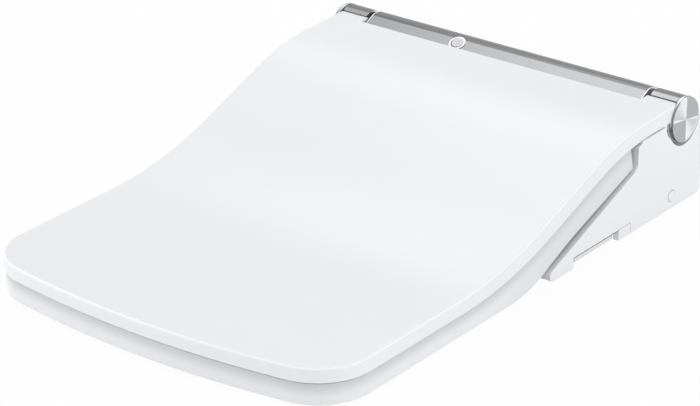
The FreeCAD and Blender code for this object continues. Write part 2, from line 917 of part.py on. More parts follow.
def seat_rear_cut(label, setback):
    """Everything behind the seat's leaning rear end."""
    lean = tangent(D.seat_rear_lean)
    foot = SEAT_REAR + setback
    low = foot - lean * SEAT_REAR_HEIGHT
    high = foot + lean * (D.tall - SEAT_REAR_HEIGHT)
    reach = LID_HALF + D.overrun
    outline = [
        corner(ahead(low), 0),
        corner(ahead(high), D.tall),
        corner(ahead(-2 * D.overrun), D.tall),
        corner(ahead(-2 * D.overrun), 0),
    ]
    return prism(label, "YZ", -reach, reach, outline)


def make_seat():
    """The seat ring: crowned top shell with hinge tongues, floor pan, heater film and bumpers."""
    end = SEAT_REAR - 3 * D.overrun
    floor = seat_floor_line(0)
    rim = seat_layer("seat_rim", D.seat_inset, 0, rim_line(D.lid_gap, end), floor)
    crown_drop = D.lid_plate + D.crown_clearance
    crown = seat_layer("seat_crown_sharp", D.lid_skirt + D.crown_inset, 0,
                       lid_top_line(crown_drop, LID_REAR), seat_floor_line(D.overrun))
    crown = eased("seat_crown", "Chamfer", crown, D.crown_chamfer)
    ring = cut("seat_ring", fuse("seat_layers", rim, crown), seat_rear_cut("seat_rear_room", 0))
    wall = D.seat_inset + D.seat_wall
    low_line = seat_floor_line(-D.overrun)
    hollow_rim = seat_layer("seat_hollow_rim", wall, D.seat_wall, rim_line(D.lid_gap + D.seat_wall, end), low_line)
    crown_wall = D.lid_skirt + D.crown_inset + D.seat_wall
    hollow_crown = seat_layer("seat_hollow_crown", crown_wall, D.seat_wall,
                              lid_top_line(crown_drop + D.seat_wall, LID_REAR), low_line)
    hollow = cut("seat_hollow", fuse("seat_hollows", hollow_rim, hollow_crown),
                 seat_rear_cut("seat_rear_wall", D.seat_wall))
    arms = []
    bores = []
    axis = (D.hinge_back, D.hinge_height)
    for name, side in SIDES.items():
        low, high = span(side, SEAT_BOSS_INNER, SEAT_BOSS_INNER + D.seat_boss_width)
        tongue_front = ahead(SEAT_REAR + D.tongue_lap)
        tongue_levels = (above(D.tongue_bottom), above(D.tongue_bottom + D.tongue_height))
        arms.append(block(f"seat_tongue_{name}", (low, high), (tongue_front, D.hinge_back), tongue_levels))
        arms.append(rod(f"seat_boss_{name}", "X", low, axis, high - low, D.seat_boss_radius))
        bores.append(rod(f"seat_bore_{name}", "X", low - D.overrun, axis, high - low + 2 * D.overrun,
                         D.pin_radius + D.pin_clearance))
    shell = cut("seat_shell", ring, hollow)
    keep("seat_top", cut("seat_top_bored", fuse("seat_top_arms", shell, *arms), *bores))

    pan_inset = wall + D.joint_gap
    pan = seat_layer("seat_pan", pan_inset, D.seat_wall + D.joint_gap, seat_floor_line(D.seat_floor_wall), floor)
    rear = seat_rear_cut("seat_pan_rear", D.seat_wall + D.joint_gap)
    keep("seat_base", cut("seat_pan_trimmed", pan, rear))

    film_inset = D.lid_skirt + D.crown_inset + D.heater_inset
    film_top = crown_drop + D.seat_wall
    film = seat_layer("heater_layer", film_inset, D.heater_inset,
                      lid_top_line(film_top, LID_REAR), lid_top_line(film_top + D.heater_film, LID_REAR))
    keep("seat_heater", cut("heater_trimmed", film, seat_rear_cut("heater_rear", D.heater_inset)))
    pads = pad_set("seat_pad", BUMPER_SPREAD, (D.seat_bumper_front, D.seat_bumper_rear), 0, D.seat_floor)
    keep("seat_bumpers", group("seat_bumper_set", *pads))


# The housing's outline
def case_outline(setback, inset, top):
    """Side outline of the housing from the toe round to the rear, up to a top level list."""
    reach = D.ramp_low_reach - setback
    toe = TOE_REACH - setback
    riser = D.riser_reach - inset
    return [
        corner(ahead(-(D.rear_depth - inset)), D.foot + inset, D.foot_round),
        *top,
        corner(ahead(riser), above(-D.riser_top_drop) - inset, D.small_round),
        corner(ahead(riser), ramp_height(riser) - inset, D.riser_round),
        corner(ahead(reach - inset), ramp_height(reach) - inset, D.toe_radius - inset),
        corner(ahead(toe - inset), D.foot + inset, D.foot_round),
    ]


def cover_top(inset):
    """The top of a side cover, from the rear to the shelf in front of the hinge line."""
    return [
        corner(ahead(-(D.rear_depth - inset)), above(D.strip_skirt) - inset),
        corner(ahead(D.shelf_reach), SHELF_HEIGHT - inset),
    ]


def middle_top(inset):
    """The top of the middle case, stepped for the strip that lies on it."""
    radius = D.strip_radius - D.strip_wall
    crest = above(radius) - inset
    return [
        corner(ahead(-(D.rear_depth - inset)), above(-D.strip_skirt) - inset),
        corner(ahead(-(radius - inset)), above(-D.strip_skirt) - inset),
        corner(ahead(-(radius - inset)), crest, radius - inset),
        corner(ahead(D.strip_edge_reach - inset / 4), crest),
        corner(ahead(D.strip_tip_reach - inset), above(radius - D.strip_tip_drop) - inset),
        corner(ahead(D.neck_reach - D.neck_setback - inset), above(D.neck_rise) - inset),
        corner(ahead(D.shelf_reach), SHELF_HEIGHT - inset),
    ]


def bay(label, side):
    """The round room for a hinge arm, open upwards and to the side."""
    low, high = span(side, BAY_INNER, D.unit_half + D.overrun)
    axis = (D.hinge_back, D.hinge_height)
    drum = rod(f"{label}_drum", "X", low, axis, high - low, D.bay_radius)
    touch_ahead = D.bay_radius * cosine(D.bay_tangent_angle)
    touch_below = D.bay_radius * sine(D.bay_tangent_angle)
    mouth = [
        corner(ahead(touch_ahead), above(-touch_below)),
        corner(ahead(D.shelf_reach), above(D.shelf_rise + D.joint_gap)),
        corner(ahead(D.shelf_reach), above(D.bay_radius)),
        corner(ahead(-D.bay_radius - D.overrun), above(D.bay_radius)),
        corner(ahead(-D.bay_radius - D.overrun), above(-D.pin_radius)),
        corner(ahead(0), above(-D.pin_radius)),
    ]
    wedge = prism(f"{label}_mouth", "YZ", low, high, mouth)
    return fuse(label, drum, wedge)


def inlet_recess(label, wall):
    """The recess at the left rear where the water inlet stands, with the wall round it or without."""
    along = (D.inlet_back - D.recess_width / 2 - wall, ahead(-D.rear_depth - D.overrun))
    across = (-D.unit_half - D.overrun, -(D.unit_half - D.cover_width - D.recess_depth) + wall)
    return block(label, across, along, (-D.overrun, D.recess_top + wall))


def wand_frame(label, outline, low, high, plane="XZ"):
    """A body drawn along the nozzle's own line: local -Y runs forward down the slope."""
    piece = Piece(label).pad(plane, low, high, outline)
    tilt(piece.body)
    return piece.body


def tilt(thing):
    """Lay a thing drawn about the Y axis, with its tip at zero, along the nozzle's slope."""
    thing.Placement = FreeCAD.Placement(FreeCAD.Vector(), FreeCAD.Rotation(FreeCAD.Vector(1, 0, 0), 1))
    bind(thing, "Placement.Rotation.Angle", RAMP_ANGLE)
    bind(thing, "Placement.Base.y", ahead(WAND_REACH))
    bind(thing, "Placement.Base.z", WAND_HEIGHT)


def nozzle_port(label):
    """The opening in the toe and the floor behind it that the nozzle comes down through."""
    radius = D.wand_radius + D.port_clearance
    along = (ahead(TOE_REACH + D.overrun), ahead(WAND_REACH - D.port_lap))
    return block(label, (-radius, radius), along, (0, D.port_height))


def make_cases():
    """Lower case with its channel, upper case, and the two side covers."""
    half = CASE_HALF
    solid = prism("case_solid", "YZ", -half, half, case_outline(D.toe_setback, 0, middle_top(0)))
    hollow = prism("case_hollow", "YZ", -CASE_INNER, CASE_INNER,
                   case_outline(D.toe_setback, D.case_wall, middle_top(D.case_wall)))
    tubs = []
    bays = []
    for name, side in SIDES.items():
        low, high = span(side, BAY_INNER - D.case_wall, half)
        tub = [
            corner(ahead(-D.rear_depth), above(-D.bay_radius - D.case_wall)),
            corner(ahead(-D.rear_depth), above(-D.strip_skirt)),
            corner(ahead(D.shelf_reach + D.case_wall), above(-D.strip_skirt / 2)),
            corner(ahead(D.shelf_reach + D.case_wall), above(-D.strip_skirt)),
            corner(ahead(D.block_foot_half), above(-D.bay_radius - D.case_wall)),
        ]
        tubs.append(prism(f"bay_tub_{name}", "YZ", low, high, tub))
        bays.append(bay(f"bay_{name}", side))
    shell = cut("case_shell", solid, hollow)
    walled = fuse("case_walled", shell, *tubs)
    recess_tub = common("recess_tub", inlet_recess("recess_outer", D.recess_wall), solid)
    walled = fuse("case_with_recess", walled, recess_tub)
    pin_holes = []
    for name, side in SIDES.items():
        low, high = span(side, STRIP_HALF - D.block_width, BAY_INNER + D.overrun)
        pin_holes.append(rod(f"pin_hole_{name}", "X", low, (D.hinge_back, D.hinge_height), high - low, D.pin_radius))
    rooms = [*bays, *pin_holes, inlet_recess("recess_room", 0), nozzle_port("port_room"), *wall_openings()]
    opened = cut("case_opened", walled, *rooms)

    below = block("below_split", (-half, half), (ahead(D.ramp_low_reach), ahead(-D.rear_depth - D.overrun)),
                  (0, D.split_height))
    upper = cut("upper_part", opened, below)
    keep("upper_case", cut("upper_case_cleared", upper, lens_room("lens_room_case")))
    make_pillars(hollow)
    lower = common("lower_part", opened, below)
    deck = block("deck", (-DECK_HALF, DECK_HALF),
                 (-(CHANNEL_FRONT + D.deck_wall), ahead(-D.rear_depth + D.small_round)), (D.foot, DECK_TOP))
    room = prism("channel", "XZ", -CHANNEL_FRONT, ahead(-D.rear_depth - D.overrun), channel_outline())
    stands = screw_rods("stand", as_size(0), D.post_split - D.foot, D.post_radius)
    sinks = screw_rods("sink", -D.overrun, D.overrun + D.post_floor + D.screw_head, D.screw_head_radius + D.screw_clearance)
    holes = screw_rods("hole", as_size(0), D.post_split, D.screw_radius + D.screw_clearance)
    lower = cut("lower_case_channelled", fuse("lower_with_deck", lower, deck, *stands), room, *sinks, *holes)
    keep("lower_case", lower)
    make_covers()


def screw_rods(label, rise, length, radius, rows=("front", "rear")):
    """An upright rod at each screw of the rows, from a height above the housing's foot."""
    reaches = {"front": D.post_reach, "rear": -D.post_setback}
    rods = []
    for row in rows:
        for name, side in SIDES.items():
            centre = (side * POST_SIDE, ahead(reaches[row]))
            rods.append(rod(f"{label}_{name}_{row}", "Z", D.foot + rise, centre, length, radius))
    return rods


def make_pillars(hollow):
    """The pillars that the screws bite into: the front ones hang from the ramp, the rear ones stand off the back."""
    rise = D.post_split - D.foot
    pillars = screw_rods("front_pillar", rise, D.tall, D.post_radius, ("front",))
    rear = screw_rods("rear_pillar", rise, D.post_top - D.post_split, D.post_radius, ("rear",))
    half = D.case_wall / 2
    for pillar, (name, side) in zip(rear, SIDES.items()):
        middle = side * POST_SIDE
        along = (ahead(-D.post_setback), ahead(-D.rear_depth))
        rib = block(f"pillar_rib_{name}", (middle - half, middle + half), along,
                    (D.split_height + D.case_wall, D.post_top))
        pillars.append(fuse(f"ribbed_pillar_{name}", pillar, rib))
    pilots = screw_rods("pilot", D.post_floor + D.screw_head, D.screw_length, D.screw_radius)
    bored = []
    for index, (pillar, pilot) in enumerate(zip(pillars, pilots)):
        bored.append(cut(f"pillar_{index}", common(f"trimmed_pillar_{index}", pillar, hollow), pilot))
    keep("case_pillars", group("pillar_set", *bored))


def channel_outline():
    """Section of the channel under the housing, with a ledge on each side under the rails."""
    half = CHANNEL_HALF
    ledge = RAIL_INNER + D.rail_wall + D.rail_clearance
    low = D.plate_thick + 2 * D.rail_clearance
    lip = D.channel_height - D.rest_gap - D.rail_lip_thick
    high = lip - D.rail_clearance
    side = [(half, -D.overrun), (half, low), (ledge, low), (ledge, high), (half, high), (half, D.channel_height)]
    right = [corner(across, up) for across, up in side]
    left = [corner(-across, up) for across, up in reversed(side)]
    return right + left


def wall_openings():
    """Holes in the case for the tab, the button, the drain plug and the cord gland."""
    half = D.unit_half - D.cover_width
    depth = D.recess_depth
    tab = block("tab_room", (half - depth, D.unit_half),
                (ahead(D.notch_rear), ahead(D.tab_rear)), (CASE_FLOOR, D.foot + D.notch_height))
    button = rod("button_hole", "X", half - depth, (ahead(D.button_reach), D.button_height),
                 depth + D.cover_width, D.button_radius - D.tab_clearance)
    plug = rod("plug_hole", "X", -D.unit_half, (ahead(D.filter_front), D.plug_height),
               depth + D.cover_width, D.plug_neck_radius + D.tab_clearance)
    gland = rod("gland_hole", "Y", ahead(-D.rear_depth + D.overrun),
                (-(half - D.gland_inset), D.gland_height), 2 * D.overrun, D.gland_radius)
    outlet = block("dryer_outlet", (-(D.duct_inner + D.duct_width - D.duct_wall), -(D.duct_inner + D.duct_wall)),
                   (ahead(WAND_REACH + 2 * D.overrun), ahead(WAND_REACH - D.overrun)),
                   (0, CASE_FLOOR))
    return [tab, button, plug, gland, outlet]


def cover_cut(base, name, side):
    """Take the bay, and on the right the notch and its controls, out of a side cover."""
    half = D.unit_half - D.cover_width
    tools = [bay(f"cover_bay_{name}", side)]
    if side > 0:
        face = D.unit_half - D.notch_depth
        tools.append(block("notch_room", (face, D.unit_half + D.overrun),
                           (ahead(D.notch_front), ahead(D.notch_rear)), (0, D.foot + D.notch_height)))
        gap = D.tab_clearance
        tools.append(block("tab_window", (half - D.overrun, D.unit_half + D.overrun),
                           (ahead(D.notch_rear), ahead(D.tab_rear) + gap), (0, D.foot + D.notch_height + gap)))
        tools.append(rod("button_window", "X", half - D.overrun, (ahead(D.button_reach), D.button_height),
                         D.cover_width + 2 * D.overrun, D.button_radius + gap))
    else:
        tools.append(inlet_recess("cover_recess", 0))
        tools.append(rod("plug_window", "X", -D.unit_half - D.overrun, (ahead(D.filter_front), D.plug_height),
                         D.cover_width + 2 * D.overrun, D.plug_neck_radius + D.tab_clearance))
        tools.append(rod("plug_seat", "X", -D.unit_half - D.overrun, (ahead(D.filter_front), D.plug_height),
                         D.overrun + D.plug_head, D.plug_radius + D.tab_clearance))
    keep(f"side_cover_{name}", cut(f"side_cover_cut_{name}", base, *tools))


def make_covers():
    """The side covers: the housing's own outline, hollowed from inside behind the hinge bay."""
    for name, side in SIDES.items():
        low, high = span(side, D.unit_half - D.cover_width, D.unit_half)
        cover = Piece(f"cover_{name}")
        cover.pad("YZ", low, high, case_outline(0, 0, cover_top(0)))
        pocket_low, pocket_high = span(side, D.unit_half - D.cover_width, D.unit_half - D.case_wall)
        base = CASE_FLOOR + D.notch_height + D.case_wall
        room = [
            corner(ahead(D.riser_reach - D.case_wall), base),
            corner(ahead(-D.block_foot_half), base),
            corner(ahead(-D.block_foot_half), above(-D.bay_radius - D.case_wall)),
            corner(ahead(D.bay_radius), above(-D.bay_radius - D.case_wall)),
            corner(ahead(D.shelf_reach + 3 * D.case_wall), above(-D.overrun)),
            corner(ahead(D.riser_reach - 2 * D.case_wall), above(-D.overrun)),
        ]
        if side > 0:
            cover.pocket("YZ", pocket_low, pocket_high, room)
        cover_cut(cover.body, name, side)


def strip_outline():
    """Section of the silver strip: a quarter round over the hinge line and a face sloping forward."""
    outer = D.strip_radius
    inner = outer - D.strip_wall
    return [
        corner(ahead(-outer), above(-D.strip_skirt)),
        corner(ahead(-outer), above(outer), outer),
        corner(ahead(D.strip_edge_reach), above(outer)),
        corner(ahead(D.strip_tip_reach), above(outer - D.strip_tip_drop)),
        corner(ahead(D.strip_tip_reach), above(inner - D.strip_tip_drop)),
        corner(ahead(D.strip_edge_reach), above(inner)),
        corner(ahead(-inner), above(inner), inner),
        corner(ahead(-inner), above(-D.strip_skirt)),
    ]


def lens_room(label):
    """Room for the sensor lens through the strip and the case."""
    return lens_rod(label, -D.lens_depth - D.strip_wall, D.lens_depth * 3, D.lens_radius + D.tab_clearance)


def lens_rod(label, start, length, radius):
    """A cylinder square to the strip's front face; start counts from the face outwards."""
    run = D.strip_tip_reach - D.strip_edge_reach
    slant = Size(math.hypot(run.value, D.strip_tip_drop.value), f"hypot({run.text}; {D.strip_tip_drop.text})")
    face_height = above(D.strip_radius) - STRIP_FALL * (D.lens_reach - D.strip_edge_reach)
    cylinder = DOC.addObject("Part::Cylinder", label)
    cylinder.Placement = FreeCAD.Placement(FreeCAD.Vector(), FreeCAD.Rotation(FreeCAD.Vector(1, 0, 0), 1))
    angle = Size(math.degrees(math.atan2(D.strip_tip_drop.value, run.value)),
                 f"atan2({D.strip_tip_drop.text}; {run.text})")
    bind(cylinder, "Placement.Rotation.Angle", angle)
    bind(cylinder, "Placement.Base.x", -D.lens_offset)
    bind(cylinder, "Placement.Base.y", ahead(D.lens_reach) - start * (D.strip_tip_drop / slant))
    bind(cylinder, "Placement.Base.z", face_height + start * (run / slant))
    bind(cylinder, "Height", as_size(length))
    bind(cylinder, "Radius", as_size(radius))
    return cylinder


def make_strip():
    """The silver strip with its sensor lens and bezel."""
    body = prism("strip_body", "YZ", -STRIP_HALF, STRIP_HALF, strip_outline())
    keep("hinge_strip", cut("strip_cut", body, lens_room("lens_room_strip")))
    depth = D.strip_wall + D.lens_depth
    lens = lens_rod("lens_body", -depth, depth + D.lens_stand / 2, D.lens_radius)
    keep("sensor_lens", lens)
    outer = lens_rod("bezel_outer", as_size(0), D.lens_stand, D.bezel_radius)
    inner = lens_rod("bezel_inner", -D.overrun / 2, D.overrun, D.lens_radius)
    keep("sensor_bezel", cut("bezel_cut", outer, inner))


def make_hinge_carriers():
    """Pins, the blocks that hold them and the soft closing dampers on the hinge line."""
    axis = (D.hinge_back, D.hinge_height)
    dampers = {"right": "lid_damper", "left": "seat_damper"}
    for name, side in SIDES.items():
        wall = BAY_INNER - D.case_wall
        low, high = span(side, wall - D.block_width, wall)
        drum = rod(f"block_drum_{name}", "X", low, axis, high - low, D.block_radius)
        foot = block(f"block_foot_{name}", (low, high), (ahead(D.block_foot_half), ahead(-D.block_foot_half)),
                     (above(-D.block_foot), above(0)))
        bore = rod(f"block_bore_{name}", "X", low, axis, high - low, D.pin_radius)
        keep(f"hinge_block_{name}", cut(f"block_{name}", fuse(f"block_joined_{name}", drum, foot), bore))
        low, high = span(side, wall - D.block_width, SLEEVE_OUTER - D.rest_gap)
        keep(f"hinge_pin_{name}", rod(f"pin_{name}", "X", low, axis, high - low, D.pin_radius))
        low, high = span(side, wall - D.block_width - D.damper_length, wall - D.block_width)
        barrel = rod(f"damper_barrel_{name}", "X", low, axis, high - low, D.damper_radius)
        nose_low, nose_high = span(side, wall - D.block_width - D.damper_length - D.damper_nose,
                                   wall - D.block_width - D.damper_length)
        nose = rod(f"damper_nose_{name}", "X", nose_low, axis, nose_high - nose_low, D.pin_radius)
        keep(dampers[name], fuse(f"damper_{name}", barrel, nose))


def make_base_plate():
    """The plate that the bowl bolts hold, with two rails that the housing slides onto."""
    half = D.plate_half
    front = -D.plate_front
    plate = Piece("plate_body")
    plate.pad("XY", 0, D.plate_thick, [
        corner(-half, front, D.plate_round),
        corner(half, front, D.plate_round),
        corner(half, D.plate_rear, D.plate_round),
        corner(-half, D.plate_rear, D.plate_round),
    ])
    top = D.channel_height - D.rest_gap
    for name, side in SIDES.items():
        wall = [
            (RAIL_INNER, D.plate_thick),
            (RAIL_INNER + D.rail_wall, D.plate_thick),
            (RAIL_INNER + D.rail_wall, top - D.rail_lip_thick),
            (RAIL_INNER + D.rail_wall + D.rail_lip, top - D.rail_lip_thick),
            (RAIL_INNER + D.rail_wall + D.rail_lip, top),
            (RAIL_INNER, top),
        ]
        outline = [corner(side * across, up) for across, up in wall]
        plate.pad("XZ", front + D.plate_round, D.plate_rear - D.plate_round, outline)
    for name, side in SIDES.items():
        slot = Slot(side * D.slot_spacing / 2, 0, D.slot_length, D.bolt_hole_radius)
        plate.pocket("XY", 0, D.plate_thick, slot)
    keep("base_plate", plate.body)


def spring_ring(label, start, centre, length):
    """A light spring as a short tube along X."""
    outer = rod(f"{label}_outer", "X", start, centre, length, D.spring_radius)
    inner = rod(f"{label}_inner", "X", start, centre, length, D.spring_radius - D.spring_wire)
    return cut(label, outer, inner)


def make_controls():
    """The release tab and the button on the right side, with their springs."""
    gap = D.tab_clearance
    face = D.unit_half
    middle = ahead((D.notch_rear + D.tab_rear) / 2)
    tab = block("tab_plate", (face - D.tab_thick, face), (ahead(D.notch_rear), ahead(D.tab_rear)),
                (D.foot, D.foot + D.notch_height))
    height = CASE_FLOOR + (D.notch_height - D.case_wall) / 2
    stem_start = face - D.tab_thick - D.tab_stem_length
    stem = rod("tab_stem", "X", stem_start, (middle, height), D.tab_stem_length, D.tab_stem)
    keep("release_tab", fuse("tab_joined", tab, stem))
    spring = D.tab_spring_length
    keep("release_spring", spring_ring("tab_spring", stem_start - gap - spring, (middle, height), spring))
    seat = block("tab_spring_seat", (stem_start - gap * 2 - spring - D.case_wall, stem_start - gap * 2 - spring),
                 (ahead(D.notch_rear - gap), ahead(D.tab_rear + gap)),
                 (CASE_FLOOR, D.foot + D.notch_height))
    keep("release_spring_seat", seat)

    centre = (ahead(D.button_reach), D.button_height)
    start = face + D.button_stand - D.button_depth
    cap = rod("button_cap", "X", start, centre, D.button_depth, D.button_radius)
    neck_start = start - D.button_spring_length / 2
    neck = rod("button_neck", "X", neck_start, centre, D.button_spring_length / 2, D.tab_stem)
    keep("side_button", fuse("button_joined", cap, neck))
    spring = D.button_spring_length
    keep("button_spring", spring_ring("button_coil", neck_start - gap - spring, centre, spring))
    half = (D.button_radius + D.case_wall) / 2
    switch = block("switch_body", (neck_start - gap * 2 - spring - 2 * D.case_wall, neck_start - gap * 2 - spring),
                   (centre[0] - half, centre[0] + half), (CASE_FLOOR, centre[1] + half))
    keep("button_switch", switch)


def make_nozzle():
    """The spray nozzle: wand, tip, the cradle it slides in and the drive motor."""
    tip = D.wand_tip_length
    length = D.wand_length
    wand = wand_frame("wand_tube", Ring(0, 0, D.wand_radius), tip, tip + length)
    half = D.carriage_width / 2
    box = [
        corner(-half, D.wand_clearance),
        corner(half, D.wand_clearance),
        corner(half, D.carriage_height),
        corner(-half, D.carriage_height),
    ]
    carriage = wand_frame("wand_carriage", box, tip + length, tip + length + D.carriage_length)
    bore = wand_frame("wand_bore", Ring(0, 0, D.wand_bore), tip, tip + length)
    keep("nozzle_wand", cut("wand_bored", fuse("wand_joined", wand, carriage), bore))

    nose = Piece("tip_body")
    nose.pad("XZ", 0, tip, Ring(0, 0, D.wand_radius))
    jets = [Ring(place * D.jet_pitch / 2, tip / 2, D.jet_radius) for place in (-1, 0, 1)]
    nose.pocket("XY", D.wand_radius - D.jet_pitch, D.wand_radius + D.overrun, *jets)
    tilt(nose.body)
    keep("nozzle_tip", nose.body)

    gap = D.wand_clearance
    start = tip + D.cradle_setback
    end = start + D.cradle_length
    wall = D.cradle_half
    floor = D.wand_radius + gap + D.cradle_floor
    trough = [
        corner(-wall, -floor),
        corner(wall, -floor),
        corner(wall, 0),
        corner(-wall, 0),
    ]
    tray = wand_frame("cradle_tray", trough, start, end)
    room = wand_frame("cradle_room", Ring(0, 0, D.wand_radius + gap), start - D.overrun, end + D.overrun)
    foot_half = D.cradle_foot / 2
    feet = []
    places = {"front": (WAND_REACH - D.cradle_front_foot, CASE_FLOOR),
              "rear": (WAND_REACH - D.cradle_rear_foot, DECK_TOP)}
    for name, (distance, base) in places.items():
        height = WAND_HEIGHT + RAMP_SLOPE * (WAND_REACH - distance) - D.wand_radius
        feet.append(block(f"cradle_foot_{name}", (-foot_half, foot_half),
                          (ahead(distance), ahead(distance - D.cradle_foot)), (base, height)))
    keep("nozzle_cradle", cut("cradle_cut", fuse("cradle_joined", tray, *feet), room))
    motor = wand_frame("motor_body", Ring(D.cradle_half + D.motor_radius, -floor / 2, D.motor_radius),
                       end - D.motor_length, end)
    keep("nozzle_motor", motor)


def make_water():
    """Heater tank, pump, inlet and valve, drain plug, and the electrical boxes."""
    deck = DECK_TOP
    tank = Piece("tank_body")
    left, right = D.tank_inner, D.tank_inner + D.tank_width
    front, rear = ahead(D.hinge_back + D.tank_front), ahead(D.hinge_back + D.tank_front - D.tank_depth)
    tank.pad("XY", deck, deck + D.tank_height, [
        corner(left, front, D.tank_round),
        corner(right, front, D.tank_round),
        corner(right, rear, D.tank_round),
        corner(left, rear, D.tank_round),
    ])
    keep("water_heater", tank.body)
    top = deck + D.tank_height
    margin = D.board_margin
    board = block("board_plate", (left + margin, right - margin), (front + margin, rear - margin),
                  (top, top + D.board_thick))
    chips = []
    for index in range(3):
        low = left + margin * 3 + index * D.tank_width / 4
        chips.append(block(f"board_chip_{index}", (low, low + D.tank_width / 8), (front + margin * 4, rear - margin * 6),
                           (top + D.board_thick, top + D.board_thick + D.chip_height)))
    keep("control_board", fuse("board_joined", board, *chips))
    floor = CASE_FLOOR
    pump_middle = (DECK_HALF + CASE_INNER) / 2
    keep("water_pump", rod("pump_body", "Y", ahead(D.pump_reach),
                           (pump_middle, floor + D.pump_radius), D.pump_length, D.pump_radius))
    supply = (DECK_HALF + D.supply_lead, CASE_INNER - D.supply_gap)
    keep("power_unit", block("supply_body", supply,
                             (ahead(D.hinge_back + D.supply_front), ahead(D.hinge_back + D.supply_front - D.supply_depth)),
                             (floor, floor + D.supply_height)))

    wall = D.unit_half - D.cover_width - D.recess_depth - D.recess_wall
    centre = (D.inlet_back, D.inlet_height)
    start = -(wall + D.recess_wall)
    nipple = rod("inlet_pipe", "X", start - D.inlet_length, centre, D.inlet_length, D.inlet_radius)
    flange = rod("inlet_collar", "X", start - D.inlet_flange, centre, D.inlet_flange, D.inlet_flange_radius)
    bore = rod("inlet_bore_room", "X", start - D.inlet_length - D.overrun, centre,
               D.inlet_length + 2 * D.overrun, D.inlet_bore)
    keep("water_inlet", cut("inlet_cut", fuse("inlet_joined", nipple, flange), bore))
    half = D.valve_depth / 2
    keep("inlet_valve", block("valve_body", (-wall, -(wall - D.valve_width)),
                              (D.inlet_back - half, D.inlet_back + half), (floor, floor + D.valve_height)))

    place = (ahead(D.filter_front), D.plug_height)
    face = -D.unit_half
    head = rod("plug_head_disc", "X", face, place, D.plug_head, D.plug_radius)
    grip = block("plug_grip_bar", (face - D.plug_grip / 6, face + D.plug_head),
                 (place[0] - D.plug_radius / 2, place[0] + D.plug_radius / 2),
                 (place[1] - D.plug_grip / 2, place[1] + D.plug_grip / 2))
    neck = rod("plug_neck", "X", face + D.plug_head, place, D.plug_neck_length, D.plug_neck_radius)
    keep("drain_plug", fuse("plug_joined", head, grip, neck))
    start = face + D.plug_head + D.plug_neck_length + D.rest_gap
    half = D.filter_depth / 2
    keep("strainer_body", block("strainer_box", (start, start + D.filter_width), (place[0] - half, place[0] + half),
                                (floor, floor + D.filter_height)))

    gland_across = -(D.unit_half - D.cover_width - D.gland_inset)
    start = ahead(-D.rear_depth) - D.gland_length
    gland = rod("gland_body", "Y", start, (gland_across, D.gland_height), D.gland_length, D.gland_radius)
    hole = rod("gland_room", "Y", start - D.overrun, (gland_across, D.gland_height),
               D.gland_length + 2 * D.overrun, D.gland_bore)
    keep("cord_gland", cut("gland_cut", gland, hole))


def make_air():
    """The drying fan: scroll case, bladed rotor and the duct to its outlet."""
    deck = DECK_TOP
    across = -D.fan_middle
    along = ahead(D.fan_reach)
    outer = rod("fan_outer", "Z", deck, (across, along), D.fan_height, D.fan_radius)
    inner = rod("fan_inner", "Z", deck + D.fan_wall, (across, along), D.fan_height - 2 * D.fan_wall,
                D.fan_radius - D.fan_wall)
    eye = rod("fan_eye", "Z", deck + D.fan_wall, (across, along), D.fan_height, D.blade_inner)
    spindle = rod("fan_spindle", "Z", deck, (across, along), D.fan_height - 2 * D.fan_wall,
                  D.rotor_bore - D.pin_clearance)
    keep("fan_case", fuse("fan_case_joined", cut("fan_case_cut", outer, inner, eye), spindle))

    low = deck + D.fan_wall + (D.fan_height - 2 * D.fan_wall - D.rotor_height) / 2
    rotor = Piece("rotor_body")
    rotor.pad("XY", low, low + D.rotor_plate, Ring(0, 0, D.rotor_radius), Ring(0, 0, D.rotor_bore))
    rotor.pad("XY", low + D.rotor_plate, low + D.rotor_height, Ring(0, 0, D.rotor_hub), Ring(0, 0, D.rotor_bore))
    half = D.blade_thick / 2
    blade = rotor.body.newObject("PartDesign::Pad", "rotor_blade")
    blade.Profile = rotor.sketch("XY", low + D.rotor_plate, [[
        corner(D.blade_inner, -half),
        corner(D.rotor_radius - half, -half),
        corner(D.rotor_radius - half, half),
        corner(D.blade_inner, half),
    ]])
    bind(blade, "Length", D.rotor_height - D.rotor_plate)
    DOC.recompute()
    fan = rotor.body.newObject("PartDesign::PolarPattern", "rotor_blades")
    fan.Originals = [blade]
    fan.Axis = (blade.Profile[0], ["N_Axis"])
    fan.Angle = 360
    fan.Occurrences = BLADE_COUNT
    rotor.body.Tip = fan
    bind(rotor.body, "Placement.Base.x", across)
    bind(rotor.body, "Placement.Base.y", along)
    keep("fan_rotor", rotor.body)

    right = -D.duct_inner
    left = right - D.duct_width
    front = ahead(WAND_REACH - D.overrun)
    rear = along - D.fan_radius - D.rest_gap
    floor = CASE_FLOOR
    low_front = ramp_height(WAND_REACH - D.overrun) - 2 * D.case_wall
    side = [
        corner(front, floor),
        corner(-(CHANNEL_FRONT + 2 * D.deck_wall), floor),
        corner(-(CHANNEL_FRONT + 2 * D.deck_wall), deck),
        corner(rear, deck),
        corner(rear, D.duct_top),
        corner(front, low_front),
    ]
    duct = prism("duct_outer", "YZ", left, right, side)
    wall = D.duct_wall
    bore = [
        corner(front - D.overrun, floor + wall),
        corner(-(CHANNEL_FRONT + 2 * D.deck_wall) - wall, floor + wall),
        corner(-(CHANNEL_FRONT + 2 * D.deck_wall) - wall, deck + wall),
        corner(rear + D.overrun, deck + wall),
        corner(rear + D.overrun, D.duct_top - wall),
        corner(rear, D.duct_top - wall),
        corner(front, low_front - wall),
        corner(front - D.overrun, low_front - wall),
    ]
    room = prism("duct_bore", "YZ", left + wall, right - wall, bore)
    keep("dryer_duct", cut("duct_cut", duct, room))


